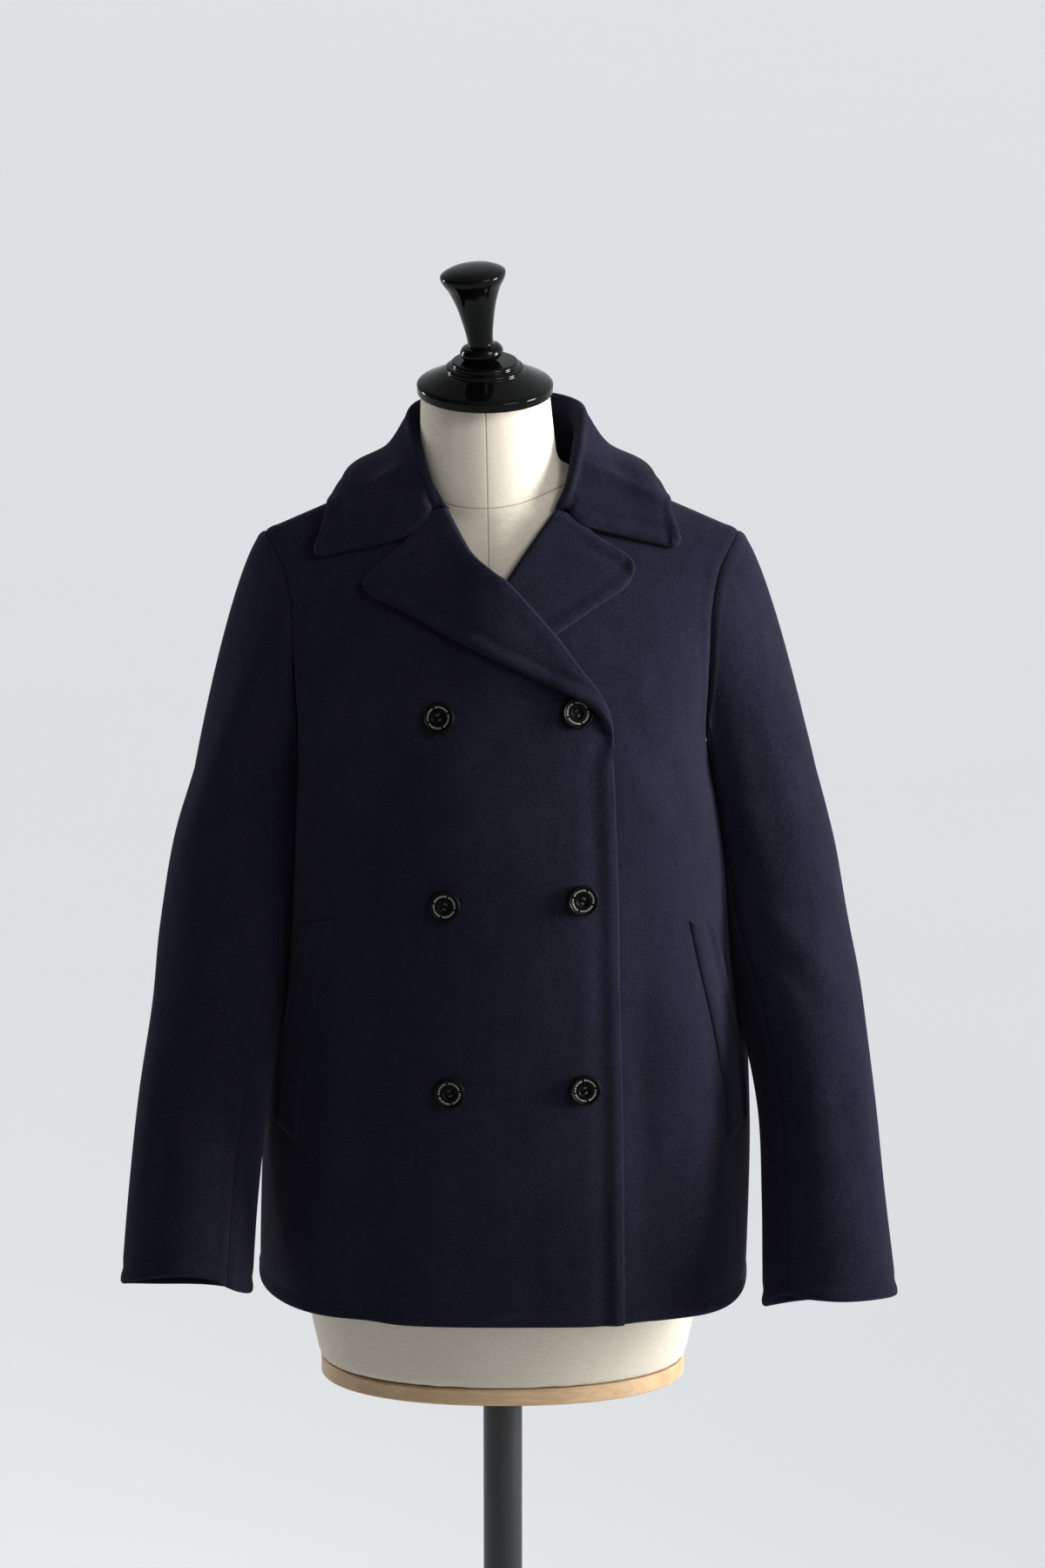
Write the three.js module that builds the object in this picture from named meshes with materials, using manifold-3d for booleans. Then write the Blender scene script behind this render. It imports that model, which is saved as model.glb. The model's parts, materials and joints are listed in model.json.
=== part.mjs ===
// Double-breasted pea coat in thick melton, hanging on a linen-covered dress form with a lacquered cap.
// Millimetres, +Z up. The origin is the middle of the base's underside. The coat's front faces -Y, so the
// wearer's right is at -X. Pieces are named for the wearer's side.
// A height called "up" is counted from the coat's hem at the side seams.
import * as THREE from 'three';
import { mergeVertices } from 'three/addons/utils/BufferGeometryUtils.js';
import Module from 'manifold-3d';

const wasm = await Module();
wasm.setup();

// Driving sizes
const HEM_HEIGHT = 750;
const CLOTH = 3;
const DOUBLED_CLOTH = 4.6;
const SEAM_GAP = 0.3;
const LAYER_GAP = 0.9;
const LAPEL_GAP = 0.9;
const SHOULDER_WIDTH = 372;
const SHOULDER_TIP_UP = 609;
const SHOULDER_SLOPE = 0.43;
const SHOULDER_ROUNDING = 230;
const SHOULDER_FULLNESS = 0.55;
const SHOULDER_SEAM_Y = 3;
const ARMPIT_UP = 431;
const NECK_POINT_X = 74;
const BACK_NECK_UP = 638;
const BUTTON_RADIUS = 12.5;
const BUTTON_THICKNESS = 4.6;
const BASE_RADIUS = 190;

// The coat's level sections. Each has a half width, the side seam's Y and a corner on the viewer's left (l)
// and right (r), and the depths of its front and back. The corner is the exponent of the rounded outline:
// 2 is an ellipse, more is squarer. Above the armpit the widths run on past the armhole, so that the
// shoulder turns over smoothly.
const BODY_SECTIONS = [
  { up: 0, lWidth: 198, rWidth: 197, lSeam: 6, rSeam: 26, front: 147, back: 150, lCorner: 2.7, rCorner: 3.6 },
  { up: 110, lWidth: 194, rWidth: 201, lSeam: 8, rSeam: 32, front: 144, back: 147, lCorner: 2.5, rCorner: 3.1 },
  { up: 190, lWidth: 186, rWidth: 199, lSeam: 10, rSeam: 34, front: 141, back: 142, lCorner: 2.4, rCorner: 2.7 },
  { up: 240, lWidth: 178, rWidth: 196, lSeam: 10, rSeam: 32, front: 139, back: 136, lCorner: 2.4, rCorner: 2.5 },
  { up: 290, lWidth: 172, rWidth: 190, lSeam: 9, rSeam: 26, front: 137, back: 129, lCorner: 2.4, rCorner: 2.4 },
  { up: 350, lWidth: 168, rWidth: 181, lSeam: 6, rSeam: 14, front: 134, back: 121, lCorner: 2.35, rCorner: 2.4 },
  { up: 400, lWidth: 165, rWidth: 172, lSeam: 4, rSeam: 6, front: 131, back: 114, lCorner: 2.35, rCorner: 2.35 },
  { up: 431, lWidth: 164, rWidth: 166, lSeam: 3, rSeam: 3, front: 127, back: 110, lCorner: 2.35, rCorner: 2.35 },
  { up: 470, lWidth: 168, rWidth: 169, lSeam: 3, rSeam: 3, front: 122, back: 111, lCorner: 2.3, rCorner: 2.3 },
  { up: 520, lWidth: 179, rWidth: 179, lSeam: 3, rSeam: 3, front: 110, back: 109, lCorner: 2.3, rCorner: 2.3 },
  { up: 560, lWidth: 191, rWidth: 191, lSeam: 3, rSeam: 3, front: 98, back: 101, lCorner: 2.3, rCorner: 2.3 },
  { up: 609, lWidth: 208, rWidth: 208, lSeam: 3, rSeam: 3, front: 84, back: 88, lCorner: 2.3, rCorner: 2.3 },
  { up: 700, lWidth: 225, rWidth: 225, lSeam: 3, rSeam: 3, front: 72, back: 78, lCorner: 2.3, rCorner: 2.3 },
];

// The dress form's level sections under the coat. It is the same on both sides.
const FORM_SECTIONS = [
  { up: -75, width: 150, front: 89, back: 107 },
  { up: 0, width: 164, front: 99, back: 119 },
  { up: 60, width: 166, front: 102, back: 121 },
  { up: 140, width: 152, front: 95, back: 103 },
  { up: 240, width: 124, front: 85, back: 81 },
  { up: 320, width: 132, front: 101, back: 87 },
  { up: 400, width: 146, front: 119, back: 98 },
  { up: 440, width: 150, front: 116, back: 101 },
  { up: 480, width: 158, front: 110, back: 102 },
  { up: 520, width: 166, front: 101, back: 99 },
  { up: 560, width: 172, front: 91, back: 91 },
  { up: 600, width: 176, front: 79, back: 81 },
  { up: 700, width: 178, front: 66, back: 70 },
].map(({ up, width, front, back }) => ({
  up, lWidth: width, rWidth: width, lSeam: 3, rSeam: 3, front, back, lCorner: 2.2, rCorner: 2.2,
}));

// The cloth's largest soft folds, from top to foot. half is -1 on the front and 1 on the back, and a rise
// below nothing is a trough.
const FOLDS = [
  { half: -1, topX: 128, topUp: 470, footX: 172, footUp: 0, width: 26, rise: 3.5 },
  { half: -1, topX: 96, topUp: 400, footX: 134, footUp: 0, width: 24, rise: -3 },
  { half: -1, topX: -112, topUp: 460, footX: -150, footUp: 0, width: 28, rise: 3 },
  { half: -1, topX: -88, topUp: 330, footX: -108, footUp: 0, width: 22, rise: -2.2 },
  { half: 1, topX: -70, topUp: 470, footX: -112, footUp: 0, width: 30, rise: 4 },
  { half: 1, topX: 76, topUp: 450, footX: 118, footUp: 0, width: 27, rise: 4.5 },
  { half: 1, topX: 4, topUp: 420, footX: -8, footUp: 0, width: 34, rise: -4 },
  { half: 1, topX: -118, topUp: 380, footX: -155, footUp: 0, width: 20, rise: -3 },
];

// The armhole seam on the front and on the back: distance from the middle, and height.
const FRONT_ARMHOLE = [
  { x: 163.6, up: 433.5 },
  { x: 162, up: 441 },
  { x: 160.9, up: 453 },
  { x: 161, up: 468 },
  { x: 162.5, up: 494 },
  { x: 163.5, up: 524 },
  { x: 165, up: 553 },
  { x: 171, up: 582 },
];
const BACK_ARMHOLE = [
  { x: 163.6, up: 433.5 },
  { x: 162, up: 441 },
  { x: 161.5, up: 455 },
  { x: 163, up: 474 },
  { x: 166, up: 500 },
  { x: 168, up: 532 },
  { x: 171, up: 563 },
  { x: 177, up: 590 },
];

// The wearer's right and left arms' sections, from the upper arm to the cuff. out is the middle's distance
// from the coat's middle, forward is towards -Y, wide and deep are half sizes.
const RIGHT_ARM = [
  { up: 408, out: 204, forward: 5, wide: 37.5, deep: 58 },
  { up: 350, out: 212.3, forward: 14, wide: 42.3, deep: 57 },
  { up: 290, out: 219, forward: 27, wide: 45.5, deep: 55 },
  { up: 230, out: 225, forward: 44, wide: 46.5, deep: 52 },
  { up: 160, out: 234, forward: 67, wide: 48.5, deep: 49 },
  { up: 90, out: 242, forward: 91, wide: 49.5, deep: 45 },
  { up: 25, out: 249, forward: 114, wide: 52, deep: 41 },
];
const LEFT_ARM = [
  { up: 408, out: 211, forward: 5, wide: 38, deep: 58 },
  { up: 350, out: 224, forward: 16, wide: 41.5, deep: 57 },
  { up: 290, out: 233.5, forward: 30, wide: 44, deep: 55 },
  { up: 230, out: 243, forward: 46, wide: 45.5, deep: 52 },
  { up: 160, out: 250, forward: 67, wide: 47, deep: 49 },
  { up: 90, out: 255, forward: 91, wide: 49, deep: 45 },
  { up: 15, out: 259.5, forward: 117, wide: 53.5, deep: 41 },
];

// The front edge of the top layer, and of the layer under it.
const TOP_EDGE = [
  { up: 0, x: 97 },
  { up: 160, x: 95 },
  { up: 264, x: 92 },
  { up: 345, x: 90 },
  { up: 431, x: 86.5 },
];
const UNDER_EDGE = [
  { up: 0, x: -72 },
  { up: 160, x: -72 },
  { up: 264, x: -71 },
  { up: 345, x: -70 },
  { up: 431, x: -69 },
];

// Where each front folds back, from its break up to the collar's seam.
const TOP_ROLL = [
  { x: 84.5, up: 460 },
  { x: 77, up: 488 },
  { x: 58, up: 513 },
  { x: 37, up: 540 },
  { x: 2, up: 577 },
  { x: -23, up: 599 },
  { x: -41, up: 628 },
];
const UNDER_ROLL = [
  { x: -66, up: 460 },
  { x: -58, up: 488 },
  { x: -42, up: 514 },
  { x: -24, up: 541 },
  { x: 4, up: 579 },
  { x: 23, up: 607 },
  { x: 41, up: 631 },
];

// The neck edge of each front, from the collar's seam to the neck point, and the back's half neck edge.
const FRONT_NECK = [
  { x: 50, up: 633 },
  { x: 60, up: 639 },
  { x: 69, up: 648.5 },
];
const BACK_NECK = [
  { x: 67, up: 649 },
  { x: 48, up: 641.5 },
  { x: 25, up: 638.5 },
];

// Each lapel's own outline on the front that it lies on. The end edge runs from the roll along the collar's
// seam to the point, and the long edge runs from the point down to the break.
const TOP_LAPEL = {
  end: [[-41, 629], [-51, 626], [-66, 613], [-79, 601], [-101, 584], [-107, 575]],
  long: [[-107, 575], [-100, 567], [-71, 555], [-37, 538], [-9, 525], [42, 501], [63, 490], [75, 480], [82, 466]],
  roll: [[-41, 629], [-23, 600], [2, 578], [37, 541], [58, 514], [77, 489], [84.5, 465]],
  foot: [[84.5, 465], [82, 466]],
};
const UNDER_LAPEL = {
  end: [[41, 629], [52, 625], [65, 616], [85, 604], [98, 596], [103, 587]],
  long: [[103, 587], [96, 574], [70.5, 559], [39, 540], [29, 533]],
  roll: [[41, 629], [23, 606], [4, 580], [-7, 566]],
  foot: [[-7, 566], [11, 549], [29, 533]],
};

// The collar in half, from the middle of the back to the front. top is the folded upper edge, edge is the
// outer edge of the turned-down fall.
const COLLAR_SECTIONS = [
  { along: 0, topX: 0, topY: 62, topUp: 708, edgeX: 0, edgeY: 78, edgeUp: 620 },
  { along: 0.2, topX: 34, topY: 56, topUp: 708, edgeX: 62, edgeY: 70, edgeUp: 621 },
  { along: 0.4, topX: 60, topY: 36, topUp: 707, edgeX: 112, edgeY: 44, edgeUp: 629 },
  { along: 0.55, topX: 69, topY: 13, topUp: 702, edgeX: 134, edgeY: 8, edgeUp: 637 },
  { along: 0.7, topX: 65, topY: -12, topUp: 686, edgeX: 142, edgeY: -18, edgeUp: 625 },
  { along: 0.85, topX: 55, topY: -32, topUp: 658, edgeX: 145, edgeY: -32, edgeUp: 608 },
  { along: 1, topX: 44, topY: -42, topUp: 634, edgeX: 142, edgeY: -40, edgeUp: 594 },
];
const COLLAR_END_SAG = 9;
const COLLAR_TUCK = 7;
const STAND_POINTS = 4;
const STAND_RAISE = 1.5;
const LEVEL_NECK_RAISE = 4.3;

// The slanted pocket welts: the front seam and the free edge, from top to bottom.
const RIGHT_WELT = {
  seam: [[-130, 318], [-138, 281], [-145, 242], [-152, 203], [-158, 169], [-160, 134]],
  free: [[-153, 309], [-159, 284], [-166, 246], [-173, 210], [-178, 172], [-180, 142]],
};
const LEFT_WELT = {
  seam: [[145, 316], [153, 277], [162, 238], [169, 203], [175, 169], [177, 134]],
  free: [[164, 311], [171, 280], [179, 243], [186, 208], [191, 174], [193, 140]],
};

// Button middles: the outer column and the column beside the top layer's front edge.
const BUTTONS = [
  { name: 'button_1', x: -47, up: 482 },
  { name: 'button_2', x: -43, up: 339 },
  { name: 'button_3', x: -40, up: 191 },
  { name: 'button_4', x: 57, up: 485 },
  { name: 'button_5', x: 61.5, up: 343 },
  { name: 'button_6', x: 64, up: 193 },
];

// The colours and finishes
const MELTON = { color: 0x1b1a29, roughness: 0.92, metalness: 0 };
const BUTTON_BLACK = { color: 0x0b0b0d, roughness: 0.2, metalness: 0 };
const LINEN = { color: 0xd9d1be, roughness: 0.9, metalness: 0 };
const LACQUER = { color: 0x060606, roughness: 0.08, metalness: 0 };
const PALE_WOOD = { color: 0xb08a5e, roughness: 0.5, metalness: 0 };
const BLACK_STEEL = { color: 0x151515, roughness: 0.4, metalness: 0.6 };

const object = new THREE.Group();

function addPiece(name, geometry, finish) {
  const mesh = new THREE.Mesh(geometry, new THREE.MeshStandardMaterial(finish));
  mesh.name = name;
  object.add(mesh);
  return mesh;
}

const lerp = THREE.MathUtils.lerp;
const smoothstep = THREE.MathUtils.smoothstep;

// Reads a table at a height, or at another first column, on a smooth curve through its rows.
function readTable(rows, at, key = 'up') {
  const rising = rows[rows.length - 1][key] > rows[0][key];
  const order = rising ? rows : [...rows].reverse();
  const value = THREE.MathUtils.clamp(at, order[0][key], order[order.length - 1][key]);
  let i = 0;
  while (i < order.length - 2 && order[i + 1][key] <= value) i += 1;
  const slope = (k, name) => {
    const before = order[Math.max(k - 1, 0)];
    const after = order[Math.min(k + 1, order.length - 1)];
    return (after[name] - before[name]) / (after[key] - before[key]);
  };
  const step = order[i + 1][key] - order[i][key];
  const t = (value - order[i][key]) / step;
  const result = {};
  for (const name of Object.keys(order[0])) {
    const rise = 3 * t * t - 2 * t * t * t;
    const leave = t * (1 - t) * (1 - t) * step;
    const arrive = t * t * (t - 1) * step;
    result[name] = lerp(order[i][name], order[i + 1][name], rise)
      + leave * slope(i, name) + arrive * slope(i + 1, name);
  }
  return result;
}

// The body's outer surface

function ridgeUp(x, drop = 0) {
  return SHOULDER_TIP_UP + (SHOULDER_WIDTH / 2 - Math.abs(x)) * SHOULDER_SLOPE - drop;
}

// How far the surface has come out from under the shoulder seam, from 0 at the seam to 1.
function shoulderTurn(x, up, drop) {
  const below = THREE.MathUtils.clamp((ridgeUp(x, drop) - up) / SHOULDER_ROUNDING, 0, 1);
  return (1 - (1 - below) ** 2) ** SHOULDER_FULLNESS;
}

// The quarter of a section that a point is in. half is -1 on the front and 1 on the back.
function sideOf(row, x, half) {
  const depth = half < 0 ? row.front : row.back;
  return x < 0 ? { width: row.lWidth, seam: row.lSeam, corner: row.lCorner, depth }
    : { width: row.rWidth, seam: row.rSeam, corner: row.rCorner, depth };
}

function surfaceY(sections, x, up, half, drop = 0) {
  const { width, seam, corner, depth } = sideOf(readTable(sections, up), x, half);
  const across = Math.min(Math.abs(x) / width, 1);
  const outline = (1 - across ** corner) ** (1 / corner);
  return seam + (half * depth - seam) * outline * shoulderTurn(x, up, drop);
}

function surfaceNormal(sections, x, up, half, drop = 0) {
  if (ridgeUp(x, drop) - up < 0.1) {
    return new THREE.Vector3(Math.sign(x) * SHOULDER_SLOPE, 0, 1).normalize();
  }
  const y = surfaceY(sections, x, up, half, drop);
  const outside = (px, py, pu) => {
    const { width, seam, corner, depth } = sideOf(readTable(sections, pu), px, half);
    const reach = Math.abs(half * depth - seam) * shoulderTurn(px, pu, drop);
    return (Math.abs(px) / width) ** corner + (Math.abs(py - seam) / reach) ** corner;
  };
  const h = 0.05;
  return new THREE.Vector3(
    outside(x + h, y, up) - outside(x - h, y, up),
    outside(x, y + h, up) - outside(x, y - h, up),
    outside(x, y, up + h) - outside(x, y, up - h),
  ).normalize();
}

// A point of the coat's surface with its outward normal, in the part's frame.
function coatPoint(x, up, half) {
  const y = surfaceY(BODY_SECTIONS, x, up, half) + half * SEAM_GAP / 2;
  const out = surfaceNormal(BODY_SECTIONS, x, up, half);
  return { at: new THREE.Vector3(x, y, HEM_HEIGHT + up).addScaledVector(out, foldRise(x, up, half)), out };
}

// The folds fade out over their top third and grow towards the hem.
function foldRise(x, up, half) {
  return FOLDS.filter((fold) => fold.half === half).reduce((sum, fold) => {
    const down = THREE.MathUtils.clamp((fold.topUp - up) / (fold.topUp - fold.footUp), 0, 1);
    const away = (x - lerp(fold.topX, fold.footX, down)) / fold.width;
    return sum + fold.rise * smoothstep(down, 0, 0.6) * Math.exp(-away * away);
  }, 0);
}

// x at an angle round a section: 0 is the middle, a quarter turn is the side seam.
function acrossAt(sections, up, angle) {
  const { width, corner } = sideOf(readTable(sections, up), angle, -1);
  return Math.sign(angle) * width * Math.sin(Math.abs(angle)) ** (2 / corner);
}

function angleAt(sections, up, x) {
  const { width, corner } = sideOf(readTable(sections, up), x, -1);
  return Math.sign(x) * Math.asin(Math.min(Math.abs(x) / width, 1) ** (corner / 2));
}

// Flat outlines in the plane of width and height

function outline(points) {
  return new THREE.SplineCurve(points.map((p) => (
    Array.isArray(p) ? new THREE.Vector2(p[0], p[1]) : new THREE.Vector2(p.x, p.up)
  )));
}

function spaced(points, count) {
  return outline(points).getSpacedPoints(count);
}

function straight(from, to, count) {
  return spaced([from, to], count);
}

function joined(...stretches) {
  return stretches.flatMap((stretch, i) => (i ? stretch.slice(1) : stretch));
}

// A patch between four edges: rows run from first to last, columns from left to right.
function patch(first, last, left, right) {
  const rows = [];
  for (let k = 0; k < left.length; k += 1) {
    const t = k / (left.length - 1);
    rows.push(first.map((start, j) => {
      const s = j / (first.length - 1);
      const blend = (axis) => (
        lerp(start[axis], last[j][axis], t) + lerp(left[k][axis], right[k][axis], s)
        - lerp(lerp(first[0][axis], first[first.length - 1][axis], s),
          lerp(last[0][axis], last[last.length - 1][axis], s), t)
      );
      return new THREE.Vector2(blend('x'), blend('y'));
    }));
  }
  return rows;
}

// Closed shells

// A closed body from a grid of outer points and the matching grid of inner points.
function shell(outer, inner) {
  const rows = outer.length;
  const columns = outer[0].length;
  const positions = [...outer.flat(), ...inner.flat()].flatMap((p) => [p.x, p.y, p.z]);
  const under = rows * columns;
  const triangles = [];
  const square = (a, b, c, d) => triangles.push([a, b, c], [a, c, d]);
  for (let k = 0; k < rows - 1; k += 1) {
    for (let j = 0; j < columns - 1; j += 1) {
      const a = k * columns + j;
      square(a, a + 1, a + columns + 1, a + columns);
      square(under + a + columns, under + a + columns + 1, under + a + 1, under + a);
    }
  }
  const rim = [];
  for (let j = 0; j < columns - 1; j += 1) rim.push(j);
  for (let k = 0; k < rows - 1; k += 1) rim.push(k * columns + columns - 1);
  for (let j = columns - 1; j > 0; j -= 1) rim.push((rows - 1) * columns + j);
  for (let k = rows - 1; k > 0; k -= 1) rim.push(k * columns);
  rim.forEach((a, i) => {
    const b = rim[(i + 1) % rim.length];
    square(b, a, under + a, under + b);
  });
  return closedGeometry(positions, triangles);
}

// Merges equal points, drops collapsed triangles and turns the faces outwards.
function closedGeometry(positions, triangles) {
  let geometry = new THREE.BufferGeometry();
  geometry.setAttribute('position', new THREE.Float32BufferAttribute(positions, 3));
  geometry.setIndex(triangles.flat());
  geometry = mergeVertices(geometry, 0.005);
  const index = geometry.index.array;
  const point = (i) => new THREE.Vector3().fromBufferAttribute(geometry.attributes.position, i);
  const kept = [];
  let volume = 0;
  for (let i = 0; i < index.length; i += 3) {
    const [a, b, c] = [index[i], index[i + 1], index[i + 2]];
    if (a !== b && b !== c && c !== a) {
      kept.push([a, b, c]);
      volume += point(a).dot(point(b).cross(point(c)));
    }
  }
  geometry.setIndex((volume < 0 ? kept.map(([a, b, c]) => [a, c, b]) : kept).flat());
  geometry.computeVertexNormals();
  return geometry;
}

// A closed piece of cloth over flat rows. standOff is how far its inner face is from the coat's outer surface.
function clothPiece(flatRows, half, thickness, standOff) {
  const grid = flatRows.map((row, k) => row.map((p) => {
    const base = coatPoint(p.x, p.y, half);
    const raised = standOff(p.x, p.y, k);
    return {
      inner: base.at.clone().addScaledVector(base.out, raised),
      outer: base.at.clone().addScaledVector(base.out, raised + thickness),
    };
  }));
  return shell(grid.map((row) => row.map((p) => p.outer)), grid.map((row) => row.map((p) => p.inner)));
}

// A panel of the coat's wall, raised by lift where it passes over another layer.
const flush = () => 0;
function panel(flatRows, half, lift = flush) {
  return clothPiece(flatRows, half, CLOTH, (x, up) => lift(x, up) - CLOTH);
}

// Rows of a panel below the armpit, between two edges given as functions of the height.
function lowerRows(fromX, toX, columns, rows) {
  const result = [];
  for (let k = 0; k <= rows; k += 1) {
    const up = ARMPIT_UP * k / rows;
    const start = angleAt(BODY_SECTIONS, up, fromX(up));
    const end = angleAt(BODY_SECTIONS, up, toX(up));
    const row = [];
    for (let j = 0; j <= columns; j += 1) {
      row.push(new THREE.Vector2(acrossAt(BODY_SECTIONS, up, lerp(start, end, j / columns)), up));
    }
    result.push(row);
  }
  return result;
}

const seamX = (side) => (up) => (
  side * sideOf(readTable(BODY_SECTIONS, up), side, -1).width
);
const shoulderTip = (side) => ({ x: side * SHOULDER_WIDTH / 2, up: SHOULDER_TIP_UP });
const neckPoint = (side) => ({ x: side * NECK_POINT_X, up: ridgeUp(NECK_POINT_X) });
const armpit = (side) => ({ x: seamX(side)(ARMPIT_UP), up: ARMPIT_UP });
const mirrored = (points, side) => points.map((p) => ({ x: side * p.x, up: p.up }));

// The armhole's points are evenly spaced along the seam itself, because its foot runs almost level.
function armholeEdge(points, side, half, count) {
  const curve = outline([armpit(side), ...mirrored(points, side), shoulderTip(side)]);
  const samples = curve.getPoints(40 * points.length);
  const lengths = [0];
  for (let i = 1; i < samples.length; i += 1) {
    const step = coatPoint(samples[i].x, samples[i].y, half).at
      .distanceTo(coatPoint(samples[i - 1].x, samples[i - 1].y, half).at);
    lengths.push(lengths[i - 1] + step);
  }
  const whole = lengths[lengths.length - 1];
  return Array.from({ length: count + 1 }, (_, k) => (
    samples[Math.max(lengths.findIndex((length) => length >= (whole * k) / count - 1e-6), 0)]
  ));
}

// The back

const UPPER_ROWS = 11;
const LOWER_ROWS = 10;

function makeBack() {
  const columns = 24;
  const shoulderColumns = 7;
  const lower = lowerRows(seamX(-1), seamX(1), columns, LOWER_ROWS);
  const neck = [
    neckPoint(-1), ...mirrored(BACK_NECK, -1), { x: 0, up: BACK_NECK_UP },
    ...mirrored([...BACK_NECK].reverse(), 1), neckPoint(1),
  ];
  const top = joined(
    straight(shoulderTip(-1), neckPoint(-1), shoulderColumns),
    spaced(neck, columns - 2 * shoulderColumns),
    straight(neckPoint(1), shoulderTip(1), shoulderColumns),
  );
  const upper = patch(
    lower[LOWER_ROWS], top,
    armholeEdge(BACK_ARMHOLE, -1, 1, UPPER_ROWS), armholeEdge(BACK_ARMHOLE, 1, 1, UPPER_ROWS),
  );
  return panel([...lower, ...upper.slice(1)], 1);
}

// The fronts. side is -1 for the wearer's right front, the top layer, and 1 for the layer under it.

function frontRows(side, edge, roll, columns, rollColumns) {
  const neckColumns = 2;
  const edgeX = (up) => readTable(edge, up).x;
  const lower = lowerRows(edgeX, seamX(side), columns, LOWER_ROWS);
  const corner = { x: edgeX(ARMPIT_UP), up: ARMPIT_UP };
  const rollTop = roll[roll.length - 1];
  const top = joined(
    spaced(roll, rollColumns),
    spaced([rollTop, ...mirrored(FRONT_NECK, side), neckPoint(side)], neckColumns),
    straight(neckPoint(side), shoulderTip(side), columns - rollColumns - neckColumns),
  );
  const upper = patch(
    lower[LOWER_ROWS], top,
    straight(corner, roll[0], UPPER_ROWS), armholeEdge(FRONT_ARMHOLE, side, -1, UPPER_ROWS),
  );
  return [...lower, ...upper.slice(1)];
}

// The top layer stands one cloth further out where it covers the under layer. Higher up it also clears the
// under layer's lapel.
const OVERLAP = CLOTH + LAYER_GAP;
function topLift(x, up) {
  const covers = smoothstep(x, -112, -76);
  const lapelBetween = smoothstep(x, -46, -14) * smoothstep(up, 492, 524) * (1 - smoothstep(up, 584, 608));
  return OVERLAP * covers + (DOUBLED_CLOTH + LAPEL_GAP) * lapelBetween;
}

const makeRightFront = () => panel(frontRows(-1, TOP_EDGE, TOP_ROLL, 18, 10), -1, topLift);
const makeLeftFront = () => panel(frontRows(1, UNDER_EDGE, UNDER_ROLL, 18, 10), -1);

// The lapels

function lapelRows(cut, across, along) {
  return patch(
    spaced(cut.roll, along), spaced(cut.long, along),
    spaced(cut.end, across), spaced(cut.foot, across),
  );
}

// The rows run from the roll out to the long edge. The cloth rises a little over the half next to the roll.
function makeLapel(cut, liftUnder, rollRise, across, along) {
  return clothPiece(lapelRows(cut, across, along), -1, DOUBLED_CLOTH, (x, up, k) => {
    const fromRoll = k / across;
    const rise = rollRise * Math.sin(Math.PI * Math.min(fromRoll / 0.5, 1)) ** 2;
    return liftUnder(x, up) + LAPEL_GAP + rise;
  });
}

// The top lapel also passes over the upper inner button.
function overButton(x, up) {
  const button = BUTTONS.find(({ name }) => name === 'button_4');
  const away = Math.hypot(x - button.x, up - button.up);
  return topLift(x, up) + (BUTTON_THICKNESS + LAYER_GAP) * (1 - smoothstep(away, 15, 38));
}

// The collar. Each row runs from the neck seam up the stand, over the fold and down the fall to its edge.

function collarGrid() {
  const stations = 30;
  const grid = [];
  for (let i = 0; i <= stations; i += 1) {
    const along = lerp(-1, 1, i / stations);
    const side = along < 0 ? -1 : 1;
    const row = readTable(COLLAR_SECTIONS, Math.abs(along), 'along');
    const top = new THREE.Vector3(side * row.topX, row.topY, row.topUp);
    const edge = new THREE.Vector3(side * row.edgeX, row.edgeY, row.edgeUp);
    const away = new THREE.Vector3(edge.x - top.x, edge.y - top.y, 0).normalize();
    const foot = neckEdgePoint(along);
    const sag = COLLAR_END_SAG * smoothstep(Math.abs(along), 0.82, 1);
    const down = new THREE.Vector3(0, 0, -1);
    const tuck = Math.min(COLLAR_TUCK, (top.z - foot.z) * 0.45);
    const path = new THREE.CatmullRomCurve3([
      foot,
      foot.clone().lerp(top, 0.5),
      top.clone().addScaledVector(down, tuck),
      top.clone().addScaledVector(away, 4.2),
      top.clone().addScaledVector(away, 7.5).addScaledVector(down, tuck),
      top.clone().addScaledVector(away, 4).lerp(edge, 0.4).addScaledVector(down, 1 + sag * 0.8),
      top.clone().addScaledVector(away, 5).lerp(edge, 0.72).addScaledVector(down, 1 + sag),
      edge,
    ], false, 'centripetal');
    grid.push(path.getPoints(10));
  }
  return grid;
}

// The neck edge of the panels, 0 at the middle of the back and 1 at a front's collar seam.
function neckEdgePoint(along) {
  const side = along < 0 ? -1 : 1;
  const share = Math.abs(along);
  const backShare = 0.55;
  const back = outline([{ x: 0, up: BACK_NECK_UP }, ...[...BACK_NECK].reverse(), neckPoint(1)]);
  const front = outline([neckPoint(1), ...[...FRONT_NECK].reverse(), { x: 41, up: 629 }]);
  const half = share < backShare ? 1 : -1;
  const flat = half > 0 ? back.getPointAt(share / backShare)
    : front.getPointAt((share - backShare) / (1 - backShare));
  const base = coatPoint(side * flat.x, flat.y, half);
  const raised = side < 0 ? topLift(-flat.x, flat.y) * (half < 0 ? 1 : 0) : 0;
  const onWall = base.at.clone().addScaledVector(base.out, raised - CLOTH / 2);
  const raise = STAND_RAISE + LEVEL_NECK_RAISE * Math.abs(base.out.z);
  return new THREE.Vector3(onWall.x, onWall.y, onWall.z - HEM_HEIGHT + raise);
}

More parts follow.
